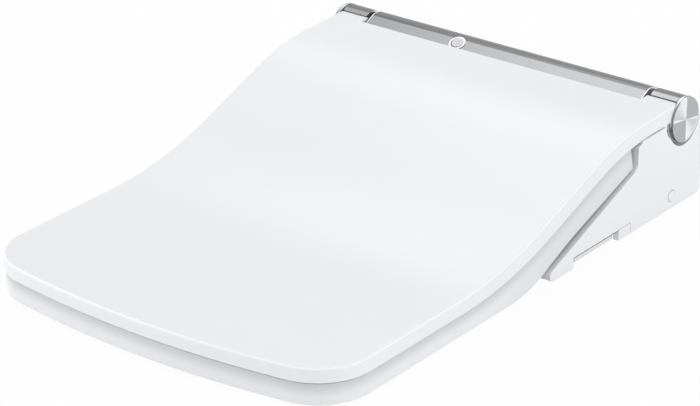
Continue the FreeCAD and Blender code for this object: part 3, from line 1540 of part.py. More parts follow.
def make_screws():
    """Four screws that hold the upper case to the lower one, from below."""
    heads = screw_rods("screw_head", D.post_floor, D.screw_head, D.screw_head_radius)
    shanks = screw_rods("screw_shank", D.post_floor + D.screw_head, D.screw_length, D.screw_radius)
    screws = [fuse(f"screw_{index}", *pair) for index, pair in enumerate(zip(heads, shanks))]
    keep("case_screws", group("screw_set", *screws))


def check_document():
    """Stop if any object failed, or if a sub-part's shape is empty or broken."""
    faults = []
    for thing in DOC.Objects:
        if "Invalid" in thing.State or "Error" in thing.State:
            faults.append(f"{thing.Label}: {thing.State}")
    for node, thing in PIECES.items():
        if thing.Shape.isNull() or not thing.Shape.isValid() or not thing.Shape.Solids:
            faults.append(f"{node}: no valid solid")
    if faults:
        raise RuntimeError("; ".join(faults))


def main():
    write_sheet()
    make_base_plate()
    make_cases()
    make_strip()
    make_hinge_carriers()
    make_controls()
    make_nozzle()
    make_water()
    make_air()
    make_screws()
    make_seat()
    make_lid()
    make_lid_trim()
    DOC.recompute()
    check_document()
    os.makedirs("parts", exist_ok=True)
    for node, thing in PIECES.items():
        thing.Shape.exportStep(f"parts/{node}.step")
        box = thing.Shape.BoundBox
        print(f"{node:22s} solids {len(thing.Shape.Solids)} volume {thing.Shape.Volume:10.0f}"
              f"  x {box.XMin:7.1f} {box.XMax:7.1f}  y {box.YMin:7.1f} {box.YMax:7.1f}"
              f"  z {box.ZMin:6.1f} {box.ZMax:6.1f}")


main()
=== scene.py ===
"""Looks of an electronic bidet seat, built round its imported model: finishes, trim and light."""

import json
import logging
import math
from dataclasses import dataclass
from enum import Enum
from typing import ClassVar

import bmesh
import bpy
from mathutils import Matrix, Vector


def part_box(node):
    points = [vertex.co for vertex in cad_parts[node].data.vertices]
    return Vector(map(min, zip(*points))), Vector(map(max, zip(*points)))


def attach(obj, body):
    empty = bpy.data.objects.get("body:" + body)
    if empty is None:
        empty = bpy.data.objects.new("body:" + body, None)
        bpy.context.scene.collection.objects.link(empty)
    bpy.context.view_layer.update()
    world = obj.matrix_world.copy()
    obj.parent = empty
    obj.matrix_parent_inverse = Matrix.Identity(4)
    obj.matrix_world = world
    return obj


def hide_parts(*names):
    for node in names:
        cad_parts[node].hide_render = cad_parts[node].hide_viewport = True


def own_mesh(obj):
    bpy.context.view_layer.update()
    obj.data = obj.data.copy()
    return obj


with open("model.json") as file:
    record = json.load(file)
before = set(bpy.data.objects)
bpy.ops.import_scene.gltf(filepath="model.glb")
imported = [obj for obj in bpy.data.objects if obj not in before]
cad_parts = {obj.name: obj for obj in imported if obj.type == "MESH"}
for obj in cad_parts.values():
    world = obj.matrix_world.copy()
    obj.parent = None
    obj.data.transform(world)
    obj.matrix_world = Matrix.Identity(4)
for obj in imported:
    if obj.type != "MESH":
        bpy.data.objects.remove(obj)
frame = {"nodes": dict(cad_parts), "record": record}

LOG = logging.getLogger("bidet_seat")
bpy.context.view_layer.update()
MM = 0.001
SIDES = {"right": 1, "left": -1}
HINGE_BACK_MM = 35.0
HINGE_HEIGHT_MM = 83.2
HINGE = (HINGE_BACK_MM, HINGE_HEIGHT_MM)
COVER_FACE_MM = 190.0
WHITE = (1.0, 1.0, 1.0)
CIRCLE_STEPS = 144
COIL_STEPS = 20
WIRE_FLATS = 10
SHARP_DEGREES = 30

Colour = tuple[float, float, float]
Point = tuple[float, float, float]
Pair = tuple[float, float]
Names = tuple[str, ...]


class Socket:
    """A shader socket whose operators add Math nodes, so that maths reads as an expression."""

    def __init__(self, tree: "Nodes", socket: bpy.types.NodeSocket) -> None:
        """Wrap an output of a tree's nodes."""
        self.tree = tree
        self.socket = socket

    def _math(self, operation: str, *values: "Socket | float") -> "Socket":
        """Add a Math node of an operation, with its inputs in order."""
        return self.tree.add("ShaderNodeMath", {"operation": operation}, dict(enumerate(values)))

    def __add__(self, other: "Socket | float") -> "Socket":
        """This plus other."""
        return self._math("ADD", self, other)

    __radd__ = __add__

    def __sub__(self, other: "Socket | float") -> "Socket":
        """This less other."""
        return self._math("SUBTRACT", self, other)

    def __rsub__(self, other: float) -> "Socket":
        """Other less this."""
        return self._math("SUBTRACT", other, self)

    def __mul__(self, other: "Socket | float") -> "Socket":
        """This times other."""
        return self._math("MULTIPLY", self, other)

    __rmul__ = __mul__

    def __pow__(self, other: "Socket | float") -> "Socket":
        """This to the power of other."""
        return self._math("POWER", self, other)

    def __abs__(self) -> "Socket":
        """This without its sign."""
        return self._math("ABSOLUTE", self)

    def sine(self) -> "Socket":
        """The sine of this, in radians."""
        return self._math("SINE", self)

    def cosine(self) -> "Socket":
        """The cosine of this, in radians."""
        return self._math("COSINE", self)

    def turn(self, other: "Socket | float") -> "Socket":
        """The angle of the point this high and other far out."""
        return self._math("ARCTAN2", self, other)

    def between(self, low: float, high: float) -> "Socket":
        """Zero at low, one at high and smooth in between."""
        inputs = {"Value": self, "From Min": low, "From Max": high}
        return self.tree.add("ShaderNodeMapRange", {"interpolation_type": "SMOOTHSTEP"}, inputs)

    def over(self, low_mm: float, high_mm: float) -> "Socket":
        """The same smooth step for a length in metres, with its limits in millimetres."""
        return self.between(low_mm * MM, high_mm * MM)

    def ranged(self, low: float, high: float) -> "Socket":
        """This, which runs from 0 to 1, made to run from low to high."""
        return low + (high - low) * self


class Nodes:
    """A tree of nodes, and the one method that adds a node to it."""

    def __init__(self, tree: bpy.types.NodeTree) -> None:
        """Start from an empty tree, a material's or a world's."""
        self.tree = tree
        self.tree.nodes.clear()

    def node(self, kind: str, settings: dict, inputs: dict) -> bpy.types.Node:
        """Add a node.

        Args:
            kind: the node's type.
            settings: the node's own properties, set before its sockets.
            inputs: each socket's value or link, by its name or number.

        Returns:
            The node.
        """
        node = self.tree.nodes.new(kind)
        for name, value in settings.items():
            setattr(node, name, value)
        for name, value in inputs.items():
            self.feed(node.inputs[name], value)
        return node

    def add(self, kind: str, settings: dict, inputs: dict, output: str | int = 0) -> Socket:
        """Add a node, as above, and hand back one of its outputs by name or number."""
        return Socket(self, self.node(kind, settings, inputs).outputs[output])

    def feed(self, socket: bpy.types.NodeSocket, value: object) -> None:
        """Give a socket a value or a link.

        Args:
            socket: the input to set.
            value: a number, a colour, a vector or a Socket.
        """
        if isinstance(value, Socket):
            self.tree.links.new(value.socket, socket)
        elif isinstance(value, tuple) and len(value) == 3 and socket.type == "RGBA":
            socket.default_value = (*value, 1.0)
        else:
            socket.default_value = value

    def part(self, vector: Socket, axis: str) -> Socket:
        """A vector's number along X, Y or Z."""
        return self.add("ShaderNodeSeparateXYZ", {}, {"Vector": vector}, axis)

    def seen(self) -> Socket:
        """Tell what is seen from the light that falls on things.

        Returns:
            One for a camera, glossy or transmission ray, else zero.
        """
        names = ("Is Camera Ray", "Is Glossy Ray", "Is Transmission Ray")
        camera, glossy, passing = (self.add("ShaderNodeLightPath", {}, {}, name) for name in names)
        return (camera + glossy + passing).between(0.0, 1.0)


class Shader(Nodes):
    """A material with its surface shader, and the patterns that the finishes share."""

    def __init__(self, name: str) -> None:
        """Start a material with only its surface shader and its output.

        Args:
            name: the material's name.
        """
        self.material = bpy.data.materials.new(name)
        self.material.use_nodes = True
        super().__init__(self.material.node_tree)
        self.surface = self.node("ShaderNodeBsdfPrincipled", {}, {})
        self.lit = Socket(self, self.surface.outputs[0])
        self.output = self.node("ShaderNodeOutputMaterial", {}, {"Surface": self.lit})

    def set(self, **values: object) -> None:
        """Set the surface shader's sockets, named with underscores for spaces."""
        for name, value in values.items():
            self.feed(self.surface.inputs[name.replace("_", " ")], value)

    def place(self) -> Socket:
        """The point of the surface in the row's frame, in metres."""
        return self.add("ShaderNodeTexCoord", {}, {}, "Object")

    def facing(self, axis: str) -> Socket:
        """How far the surface faces along X, Y or Z, from -1 to 1."""
        return self.part(self.add("ShaderNodeTexCoord", {}, {}, "Normal"), axis)

    def along(self, axis: str, start_mm: float = 0.0) -> Socket:
        """How far the surface lies along X, Y or Z from a start, in metres."""
        return self.part(self.place(), axis) - start_mm * MM

    def reach(self, centre_mm: Pair) -> Socket:
        """The surface's distance from a line along X with this Y and Z, in metres."""
        back, up = self.along("Y", centre_mm[0]), self.along("Z", centre_mm[1])
        return (back * back + up * up) ** 0.5

    def angle(self, centre_mm: Pair) -> Socket:
        """The surface's angle round a line along X with this Y and Z, in radians."""
        return self.along("Z", centre_mm[1]).turn(self.along("Y", centre_mm[0]))

    def noise(self, step_mm: float, detail: float, where: Socket | None = None) -> Socket:
        """Noise from 0 to 1 by its grain's size, its finer layers and the point it is read at."""
        inputs = {"Vector": where or self.place(), "Scale": 1.0 / (step_mm * MM), "Detail": detail}
        return self.add("ShaderNodeTexNoise", {}, inputs)

    def waves(self, distance: Socket, step_mm: float) -> Socket:
        """A wave from 0 to 1 that repeats at each step of a distance in metres."""
        return (distance * (math.tau / (step_mm * MM))).sine() * 0.5 + 0.5

    def heights(self, place: Socket, rows: list[Pair]) -> Socket:
        """Read a height off a line through rows.

        Args:
            place: where to read it, from 0 to 1.
            rows: each row's place and height, both from 0 to 1, in order.

        Returns:
            The height, from 0 to 1.
        """
        ramp = self.node("ShaderNodeValToRGB", {}, {"Fac": place})
        stops = ramp.color_ramp.elements
        stops.remove(stops[-1])
        for number, (spot, height) in enumerate(rows):
            stop = stops.new(spot) if number else stops[0]
            stop.position = spot
            stop.color = (height, height, height, 1.0)
        return self.part(Socket(self, ramp.outputs[0]), "X")

    def mix(self, share: Socket, low: object, high: object) -> Socket:
        """Blend two colours, where a share of zero is the first and one the second."""
        return self.add("ShaderNodeMix", {"data_type": "RGBA"}, {0: share, 6: low, 7: high}, 2)

    def bump(self, height: Socket, depth_mm: float) -> Socket:
        """Turn a height from 0 to 1 into the normal of a relief of a depth."""
        inputs = {"Height": height, "Distance": depth_mm * MM, "Strength": 1.0}
        return self.add("ShaderNodeBump", {}, inputs)


def shade(colour: Colour, factor: float) -> Colour:
    """A colour made darker or lighter by a factor, and never above white."""
    return tuple(min(1.0, part * factor) for part in colour)


@dataclass(frozen=True)
class Finish:
    """A finish: the slot that it stands for, and what it paints on a fresh shader."""

    slot: str

    def paint(self, shader: Shader) -> None:
        """Set the shader's sockets, which each finish does in its own way."""
        raise NotImplementedError

    def material(self) -> bpy.types.Material:
        """Make the material.

        Returns:
            The finished material.
        """
        shader = Shader(self.slot)
        self.paint(shader)
        return shader.material


class Gloss(Enum):
    """How far a moulding is polished, as its roughness."""

    POLISHED = 0.33
    SATIN = 0.34
    MATTE = 0.55


@dataclass(frozen=True)
class Moulded(Finish):
    """Moulded plastic with the faint swell and grain of its mould, and a painted highlight on its
    rounded edges.
    """

    colour: Colour
    gloss: Gloss
    grain_mm: float = 0.7
    grain_depth_mm: float = 0.004
    swell_mm: float = 45.0
    tint_share: float = 0.01
    rough_span: Pair = (0.85, 1.15)
    # painted highlight: a lighter tone where the surface turns over a rounded edge
    highlight_lift: float = 0.0
    highlight_tone: Colour = (0.965, 0.972, 1.0)
    highlight_starts: Pair = (0.45, 0.7)
    highlight_ends: Pair = (0.86, 0.93)

    def tone(self, shader: Shader, body: Socket) -> Socket:
        """What the plain colour becomes on its way to the shader: nothing else here."""
        return body

    def metal(self, shader: Shader) -> Socket | float:
        """The share of the surface that is metal: none here."""
        return 0.0

    def paint(self, shader: Shader) -> None:
        """Tint by a slow swell, paint a highlight on the rounded edges, and roughen and dent by a
        fine grain.

        Args:
            shader: the fresh shader.
        """
        swell = shader.noise(self.swell_mm, 1.0)
        grain = shader.noise(self.grain_mm, 3.0)
        darker = shade(self.colour, 1 - self.tint_share)
        lighter = shade(self.colour, 1 + self.tint_share)
        up = shader.facing("Z")
        # painted highlight on the rounded edges, where the surface leans between level and upright
        crest = up.between(*self.highlight_starts) * (1 - up.between(*self.highlight_ends)) * self.highlight_lift
        body = shader.mix(crest, shader.mix(swell, darker, lighter), self.highlight_tone)
        shader.set(
            Base_Color=self.tone(shader, body),
            Metallic=self.metal(shader),
            Roughness=self.gloss.value * grain.ranged(*self.rough_span),
            Normal=shader.bump(grain, self.grain_depth_mm),
        )


@dataclass(frozen=True)
class ShadedUnderRim(Moulded):
    """Moulded plastic with painted shade close under a rim, as on the seat's wall under the lid.
    """

    rim: tuple[Pair, ...] = ()
    full_mm: float = 100.0
    # tones of the painted shade: deep right under the rim, soft further down, wall on the sides
    # towards the rear
    deep: float = 0.46
    soft: float = 0.7
    wall: float = 0.88
    line_mm: float = 2.0
    shade_fade_mm: float = 16.0
    level_facing: Pair = (0.5, 0.8)
    aside_facing: Pair = (0.5, 0.9)
    wall_run: Pair = (0.2, 0.7)

    def tone(self, shader: Shader, body: Socket) -> Socket:
        """Paint shade close below the rim, and on the sides towards the rear.

        Args:
            shader: the fresh shader.
            body: the plain colour.

        Returns:
            The colour to use.
        """
        first, last = self.rim[0][0], self.rim[-1][0]
        length = last - first
        rows = [((back - first) / length, height / self.full_mm) for back, height in self.rim]
        share = shader.along("Y", first) * (1 / (length * MM))
        rim = shader.heights(share, rows) * (self.full_mm * MM)
        below = rim - shader.along("Z")
        upright = 1 - abs(shader.facing("Z")).between(*self.level_facing)
        rear = shader.along("Y").over(first, last).between(*self.wall_run)
        aside = abs(shader.facing("X")).between(*self.aside_facing) * rear
        # painted shade on the upright sides towards the rear
        body = shader.mix(upright * aside, body, shade(self.colour, self.wall))
        # painted shade under the rim: a soft fade, then a deep line close under it
        for depth_mm, factor in ((self.shade_fade_mm, self.soft), (self.line_mm, self.deep)):
            near = (1 - below.over(0.0, depth_mm)) * upright
            body = shader.mix(near, body, shade(self.colour, factor))
        return body


@dataclass(frozen=True)
class ShadedShelf(Moulded):
    """Moulded plastic with painted shade where its shelf runs in beside the seat's wall."""

    wall_mm: float = 179.5
    clear_mm: float = 188.0
    rear_mm: Pair = (-20.0, -15.0)
    deep: float = 0.4
    shelf_facing: Pair = (0.3, 0.6)

    def tone(self, shader: Shader, body: Socket) -> Socket:
        """Paint shade on the shelf, deeper towards the seat.

        Args:
            shader: the fresh shader.
            body: the plain colour.

        Returns:
            The colour to use.
        """
        inward = 1 - abs(shader.along("X")).over(self.wall_mm, self.clear_mm)
        shelf = shader.facing("Z").between(*self.shelf_facing)
        ahead = 1 - shader.along("Y").over(*self.rear_mm)
        # painted shade on the shelf, fading out towards the cover's face and the rear
        return shader.mix(inward * shelf * ahead, body, shade(self.colour, self.deep))


@dataclass(frozen=True)
class Collared(Moulded):
    """Moulded plastic with bright collars where the lid's arms close round the hinge line."""

    collar: Colour = (0.74, 0.745, 0.76)
    reach_mm: Pair = (24.6, 24.7)
    rise_mm: Pair = (3.0, 3.1)
    start_mm: Pair = (181.0, 181.1)

    def metal(self, shader: Shader) -> Socket:
        """One on the collars, zero elsewhere.

        Args:
            shader: the fresh shader.

        Returns:
            The share of the surface that is metal.
        """
        near = 1 - shader.reach(HINGE).over(*self.reach_mm)
        low = 1 - shader.along("Z", HINGE_HEIGHT_MM).over(*self.rise_mm)
        aside = abs(shader.along("X")).over(*self.start_mm)
        return near * low * aside

    def tone(self, shader: Shader, body: Socket) -> Socket:
        """Give the collars their own colour."""
        return shader.mix(self.metal(shader), body, self.collar)


@dataclass(frozen=True)
class Brushed(Finish):
    """Satin metal with lines along X, and painted reflections: dark on its crest, light on its
    front, with a painted highlight on its cut ends.
    """

    crest: Colour
    face: Colour
    cut_end: Colour
    roughness: float
    streak_share: float = 0.12
    fade_share: float = 0.12
    split_mm: float = 6.0
    outer_split_mm: float = 4.4
    blend_mm: float = 0.8
    outer_mm: Pair = (156.5, 157.0)
    line_mm: float = 0.25
    run_mm: float = 60.0
    relief_mm: float = 0.002
    rough_span: Pair = (0.8, 1.2)
    crest_facing: Pair = (-0.41, -0.34)
    end_facing: Pair = (0.6, 0.9)

    def paint(self, shader: Shader) -> None:
        """Paint reflected light and shade by where the surface faces, paint them stronger to the
        left, and brush it.

        Args:
            shader: the fresh shader.
        """
        inputs = {0: shader.place(), 1: (self.line_mm / self.run_mm, 1.0, 1.0)}
        squeezed = shader.add("ShaderNodeVectorMath", {"operation": "MULTIPLY"}, inputs)
        lines = shader.noise(self.line_mm, 4.0, squeezed)
        across = shader.along("X")
        step = (self.split_mm - self.outer_split_mm) * MM
        split = (HINGE_BACK_MM - self.split_mm) * MM + abs(across).over(*self.outer_mm) * step
        rear = (shader.along("Y") - split).over(0.0, self.blend_mm)
        # painted reflection: the crest dark and the front light
        crest = (shader.facing("Y").between(*self.crest_facing) + rear).between(0.0, 1.0)
        plain = shader.mix(crest, self.face, self.crest)
        lighter = shade(self.face, 1 + self.fade_share)
        darker = shade(self.crest, 1 - self.fade_share)
        # painted shading: the front lighter and the crest darker towards the left
        left = 1 - across.over(-COVER_FACE_MM, COVER_FACE_MM)
        faded = shader.mix(left, plain, shader.mix(crest, lighter, darker))
        streaked = shader.mix(lines * self.streak_share, faded, WHITE)
        # painted highlight on the cut ends
        aside = abs(shader.facing("X")).between(*self.end_facing)
        shader.set(
            Base_Color=shader.mix(aside, streaked, self.cut_end),
            Metallic=1.0,
            Roughness=self.roughness * lines.ranged(*self.rough_span),
            Normal=shader.bump(lines, self.relief_mm),
        )


@dataclass(frozen=True)
class Spun(Finish):
    """Metal turned about the hinge line, with fine rings, and with painted reflections: light and
    dark sectors with bright spokes.
    """

    light: Colour
    dark: Colour
    painted_glint: Colour
    barrel: Colour
    lean_turn: float = 0.06
    dark_share: float = 0.28
    streaks: float = 12.0
    streak_weight: float = 1.2
    sector_edge: Pair = (-0.32, 0.32)
    spoke_edge: Pair = (0.03, 0.24)
    spoke_share: float = 0.9
    patch_edge: Pair = (0.4, 0.68)
    patch_share: float = 0.4
    patch_tone: float = 0.76
    ring_mm: float = 0.5
    ring_share: float = 0.08
    relief_mm: float = 0.0015
    wear_mm: float = 1.6
    roughness: Pair = (0.3, 0.4)
    flat_facing: Pair = (0.75, 0.95)

    def paint(self, shader: Shader) -> None:
        """Paint reflections as sectors with bright spokes on the face, and one tone on the barrel.

        Args:
            shader: the fresh shader.
        """
        turn = shader.angle(HINGE) + self.lean_turn
        spot = shader.add("ShaderNodeCombineXYZ", {}, {"X": turn * self.streaks})
        inputs = {"Vector": spot, "Scale": 1.0, "Detail": 3.0}
        streak = shader.add("ShaderNodeTexNoise", {}, inputs)
        # painted reflection: sectors that turn light and dark round the hinge line, with bright
        # spokes between them
        wave = (turn * 2).sine() + self.dark_share
        sectors = (wave + (streak - 0.5) * self.streak_weight).between(*self.sector_edge)
        spokes = (1 - abs(wave).between(*self.spoke_edge)) * self.spoke_share
        patches = streak.between(*self.patch_edge) * self.patch_share
        lit = shader.mix((turn * 2).cosine() * 0.5 + 0.5, self.light, self.barrel)
        sectored = shader.mix(sectors, lit, self.dark)
        face = shader.mix(patches, sectored, shade(self.light, self.patch_tone))
        rings = shader.waves(shader.reach(HINGE), self.ring_mm)
        sparked = shader.mix(spokes, face, self.painted_glint)
        ringed = shader.mix(rings * self.ring_share, sparked, self.dark)
        flat = abs(shader.facing("X")).between(*self.flat_facing)
        shader.set(
            Base_Color=shader.mix(flat, self.barrel, ringed),
            Metallic=1.0,
            Roughness=shader.noise(self.wear_mm, 3.0).ranged(*self.roughness),
            Normal=shader.bump(rings, self.relief_mm),
        )


@dataclass(frozen=True)
class Turned(Finish):
    """Machined metal with a faint mottle, and tool lines round X."""

    colour: Colour
    roughness: float
    rough_span: Pair = (0.8, 1.2)
    mottle_mm: float = 1.2
    mottle_detail: float = 4.0
    mottle_tone: float = 0.86
    lines_mm: float = 0.3
    depth_mm: float = 0.004

    def relief(self, shader: Shader) -> Socket:
        """The height of the fine lines."""
        return shader.waves(shader.along("X"), self.lines_mm)

    def paint(self, shader: Shader) -> None:
        """Mottle the colour and turn the relief into it.

        Args:
            shader: the fresh shader.
        """
        mottle = shader.noise(self.mottle_mm, self.mottle_detail)
        shader.set(
            Base_Color=shader.mix(mottle, shade(self.colour, self.mottle_tone), self.colour),
            Metallic=1.0,
            Roughness=self.roughness * mottle.ranged(*self.rough_span),
            Normal=shader.bump(self.relief(shader), self.depth_mm),
        )


@dataclass(frozen=True)
class Threaded(Turned):
    """Machined metal whose widest barrel carries a pipe thread round X."""

    centre_mm: Pair = HINGE
    foot_mm: Pair = (0.0, 0.0)
    crest_mm: Pair = (0.0, 0.0)

    def relief(self, shader: Shader) -> Socket:
        """Wind the thread's ridge round the barrel by its angle and its place.

        Args:
            shader: the fresh shader.

        Returns:
            The ridge's height.
        """
        radius = shader.reach(self.centre_mm)
        barrel = radius.over(*self.foot_mm) * (1 - radius.over(*self.crest_mm))
        lead = self.lines_mm * MM / math.tau
        wound = shader.along("X") + shader.angle(self.centre_mm) * lead
        return shader.waves(wound, self.lines_mm) * barrel


@dataclass(frozen=True)
class Lens(Finish):
    """Milky window over a sensor: pale and polished, with a darker eye and a dark seam."""

    pale: Colour
    deep: Colour
    seam: Colour
    centre_mm: Pair
    slant: float = 1.06
    eye_mm: Pair = (0.88, 4.4)
    eye_share: float = 0.5
    seam_mm: Pair = (5.6, 5.9)
    cloud_mm: float = 2.0
    cloud_share: float = 0.2
    roughness: Pair = (0.06, 0.11)
    relief_mm: float = 0.003

    def paint(self, shader: Shader) -> None:
        """Darken the middle softly, cloud the rest and draw the seam.

        Args:
            shader: the fresh shader.
        """
        across = shader.along("X", self.centre_mm[0])
        back = shader.along("Y", self.centre_mm[1]) * self.slant
        radius = (across * across + back * back) ** 0.5
        eye = 1 - radius.over(*self.eye_mm)
        cloud = shader.noise(self.cloud_mm, 2.0)
        depth = (eye * self.eye_share + cloud * self.cloud_share).between(0.0, 1.0)
        milk = shader.mix(depth, self.pale, self.deep)
        shader.set(
            Base_Color=shader.mix(radius.over(*self.seam_mm), milk, self.seam),
            Roughness=cloud.ranged(*self.roughness),
            Coat_Weight=1.0,
            Normal=shader.bump(cloud, self.relief_mm),
        )


@dataclass(frozen=True)
class Board(Finish):
    """Circuit board under green lacquer, with its copper tracks showing through."""

    lacquer: Colour
    track: Colour
    cell_mm: float = 2.4
    track_edge: Pair = (0.34, 0.4)
    roughness: Pair = (0.3, 0.4)
    relief_mm: float = 0.05

    def paint(self, shader: Shader) -> None:
        """Lay tracks along the edges of square cells.

        Args:
            shader: the fresh shader.
        """
        inputs = {"Vector": shader.place(), "Scale": 1.0 / (self.cell_mm * MM)}
        settings = {"distance": "CHEBYCHEV"}
        cells = shader.add("ShaderNodeTexVoronoi", settings, inputs, "Distance")
        tracks = cells.between(*self.track_edge)
        shader.set(
            Base_Color=shader.mix(tracks, self.lacquer, self.track),
            Roughness=tracks.ranged(*self.roughness),
            Normal=shader.bump(tracks, self.relief_mm),
        )


@dataclass(frozen=True)
class Foil(Finish):
    """Thin metal foil with the heating wire's rows pressed into it."""

    colour: Colour
    row_mm: float = 9.0
    row_edge: Pair = (0.8, 1.0)
    row_tone: float = 0.8
    crumple_mm: float = 6.0
    roughness: Pair = (0.25, 0.45)
    relief_mm: float = 0.4

    def paint(self, shader: Shader) -> None:
        """Press the wire's rows into the foil, and crumple it a little.

        Args:
            shader: the fresh shader.
        """
        rows = shader.waves(shader.along("X"), self.row_mm)
        crumple = shader.noise(self.crumple_mm, 4.0)
        pressed = rows.between(*self.row_edge)
        shader.set(
            Base_Color=shader.mix(pressed, self.colour, shade(self.colour, self.row_tone)),
            Metallic=1.0,
            Roughness=crumple.ranged(*self.roughness),
            Normal=shader.bump((rows + crumple) * 0.5, self.relief_mm),
        )


GLOSS_WHITE = (0.84, 0.846, 0.868)
SATIN_WHITE = (0.845, 0.851, 0.869)
SATIN_GRAIN = {"grain_mm": 0.45, "grain_depth_mm": 0.008}
COARSE_GRAIN = {"grain_mm": 0.6, "grain_depth_mm": 0.02}
# a brighter copy of the metal for the collars, painted light that lifts them out of the shade of
# the disc and the bay
COLLAR = Turned("bright_collar", (0.93, 0.93, 0.95), 0.3)
# bright metal for the plates on the bar's cut ends, a painted highlight
BRIGHT_EDGE = Turned("bright_edge", (0.8, 0.8, 0.82), 0.4)
BRIGHT_RING = Turned("bright_ring", (0.72, 0.72, 0.74), 0.25)
SHADED_COVER = ShadedShelf("cover_white_shaded", SATIN_WHITE, Gloss.SATIN, **SATIN_GRAIN)
LID = Collared("lid_white", GLOSS_WHITE, Gloss.POLISHED, highlight_lift=0.95)
FINISHES = (
    Moulded("gloss_white", GLOSS_WHITE, Gloss.POLISHED, highlight_lift=0.95),
    Moulded("white_plastic", SATIN_WHITE, Gloss.SATIN, **SATIN_GRAIN),
    Brushed("silver_trim", crest=(0.103, 0.103, 0.106), face=(0.24, 0.243, 0.252),
            cut_end=(0.98, 0.98, 1.0), roughness=0.3),
    Spun("spun_aluminium", light=(0.97, 0.975, 0.99), dark=(0.42, 0.425, 0.44),
         painted_glint=(0.99, 0.99, 0.99), barrel=(0.56, 0.565, 0.58)),
    Lens("dark_lens", pale=(0.72, 0.73, 0.75), deep=(0.58, 0.585, 0.6),
         seam=(0.2, 0.2, 0.205), centre_mm=(-51.4, 25.4)),
    Moulded("bumper_rubber", (0.52, 0.52, 0.52), Gloss.MATTE, grain_mm=0.5, grain_depth_mm=0.02),
    Moulded("grey_plastic", (0.6, 0.61, 0.63), Gloss.MATTE, **COARSE_GRAIN),
    Moulded("dark_plastic", (0.045, 0.045, 0.05), Gloss.MATTE, **COARSE_GRAIN),
    Moulded("nozzle_plastic", (0.8, 0.81, 0.82), Gloss.POLISHED),
    Turned("steel", (0.55, 0.55, 0.56), 0.32),
    Threaded("brass", (0.72, 0.52, 0.26), 0.29, rough_span=(0.76, 1.24), mottle_mm=1.5,
             mottle_detail=3.0, mottle_tone=0.82, lines_mm=1.814, depth_mm=0.8,
             centre_mm=(28.0, 24.0), foot_mm=(9.9, 10.2), crest_mm=(10.7, 10.9)),
    Foil("foil", (0.7, 0.7, 0.72)),
    Board("circuit_board", (0.02, 0.16, 0.07), (0.1, 0.32, 0.14)),
)


def around(centre: Pair, across: float, radius: float, turn: float) -> Point:
    """The point at a place along a line in X, a distance from it and an angle round it."""
    return (across, centre[0] + radius * math.cos(turn), centre[1] + radius * math.sin(turn))


def from_hinge(reach: float, rise: float) -> Pair:
    """The (Y, Z) place at a reach in front of the hinge line and a rise above it."""
    return (HINGE_BACK_MM - reach, HINGE_HEIGHT_MM + rise)


def arc(radius: float, stop: float, steps: int) -> list[Pair]:
    """The (Y, Z) places of an arc about the hinge line, from its top to an angle over the rear."""
    turns = [math.radians(90 - (90 - stop) * step / steps) for step in range(steps + 1)]
    return [from_hinge(-radius * math.cos(turn), radius * math.sin(turn)) for turn in turns]


def middle(low: Vector, high: Vector) -> Pair:
    """The Y and Z halfway between two corners."""
    return ((low.y + high.y) / 2, (low.z + high.z) / 2)


def into_scene(name: str, data: bpy.types.ID) -> bpy.types.Object:
    """Make an object and put it into the scene.

    Args:
        name: the object's name.
        data: the mesh, lamp or camera that it shows.

    Returns:
        The object.
    """
    thing = bpy.data.objects.new(name, data)
    bpy.context.scene.collection.objects.link(thing)
    return thing


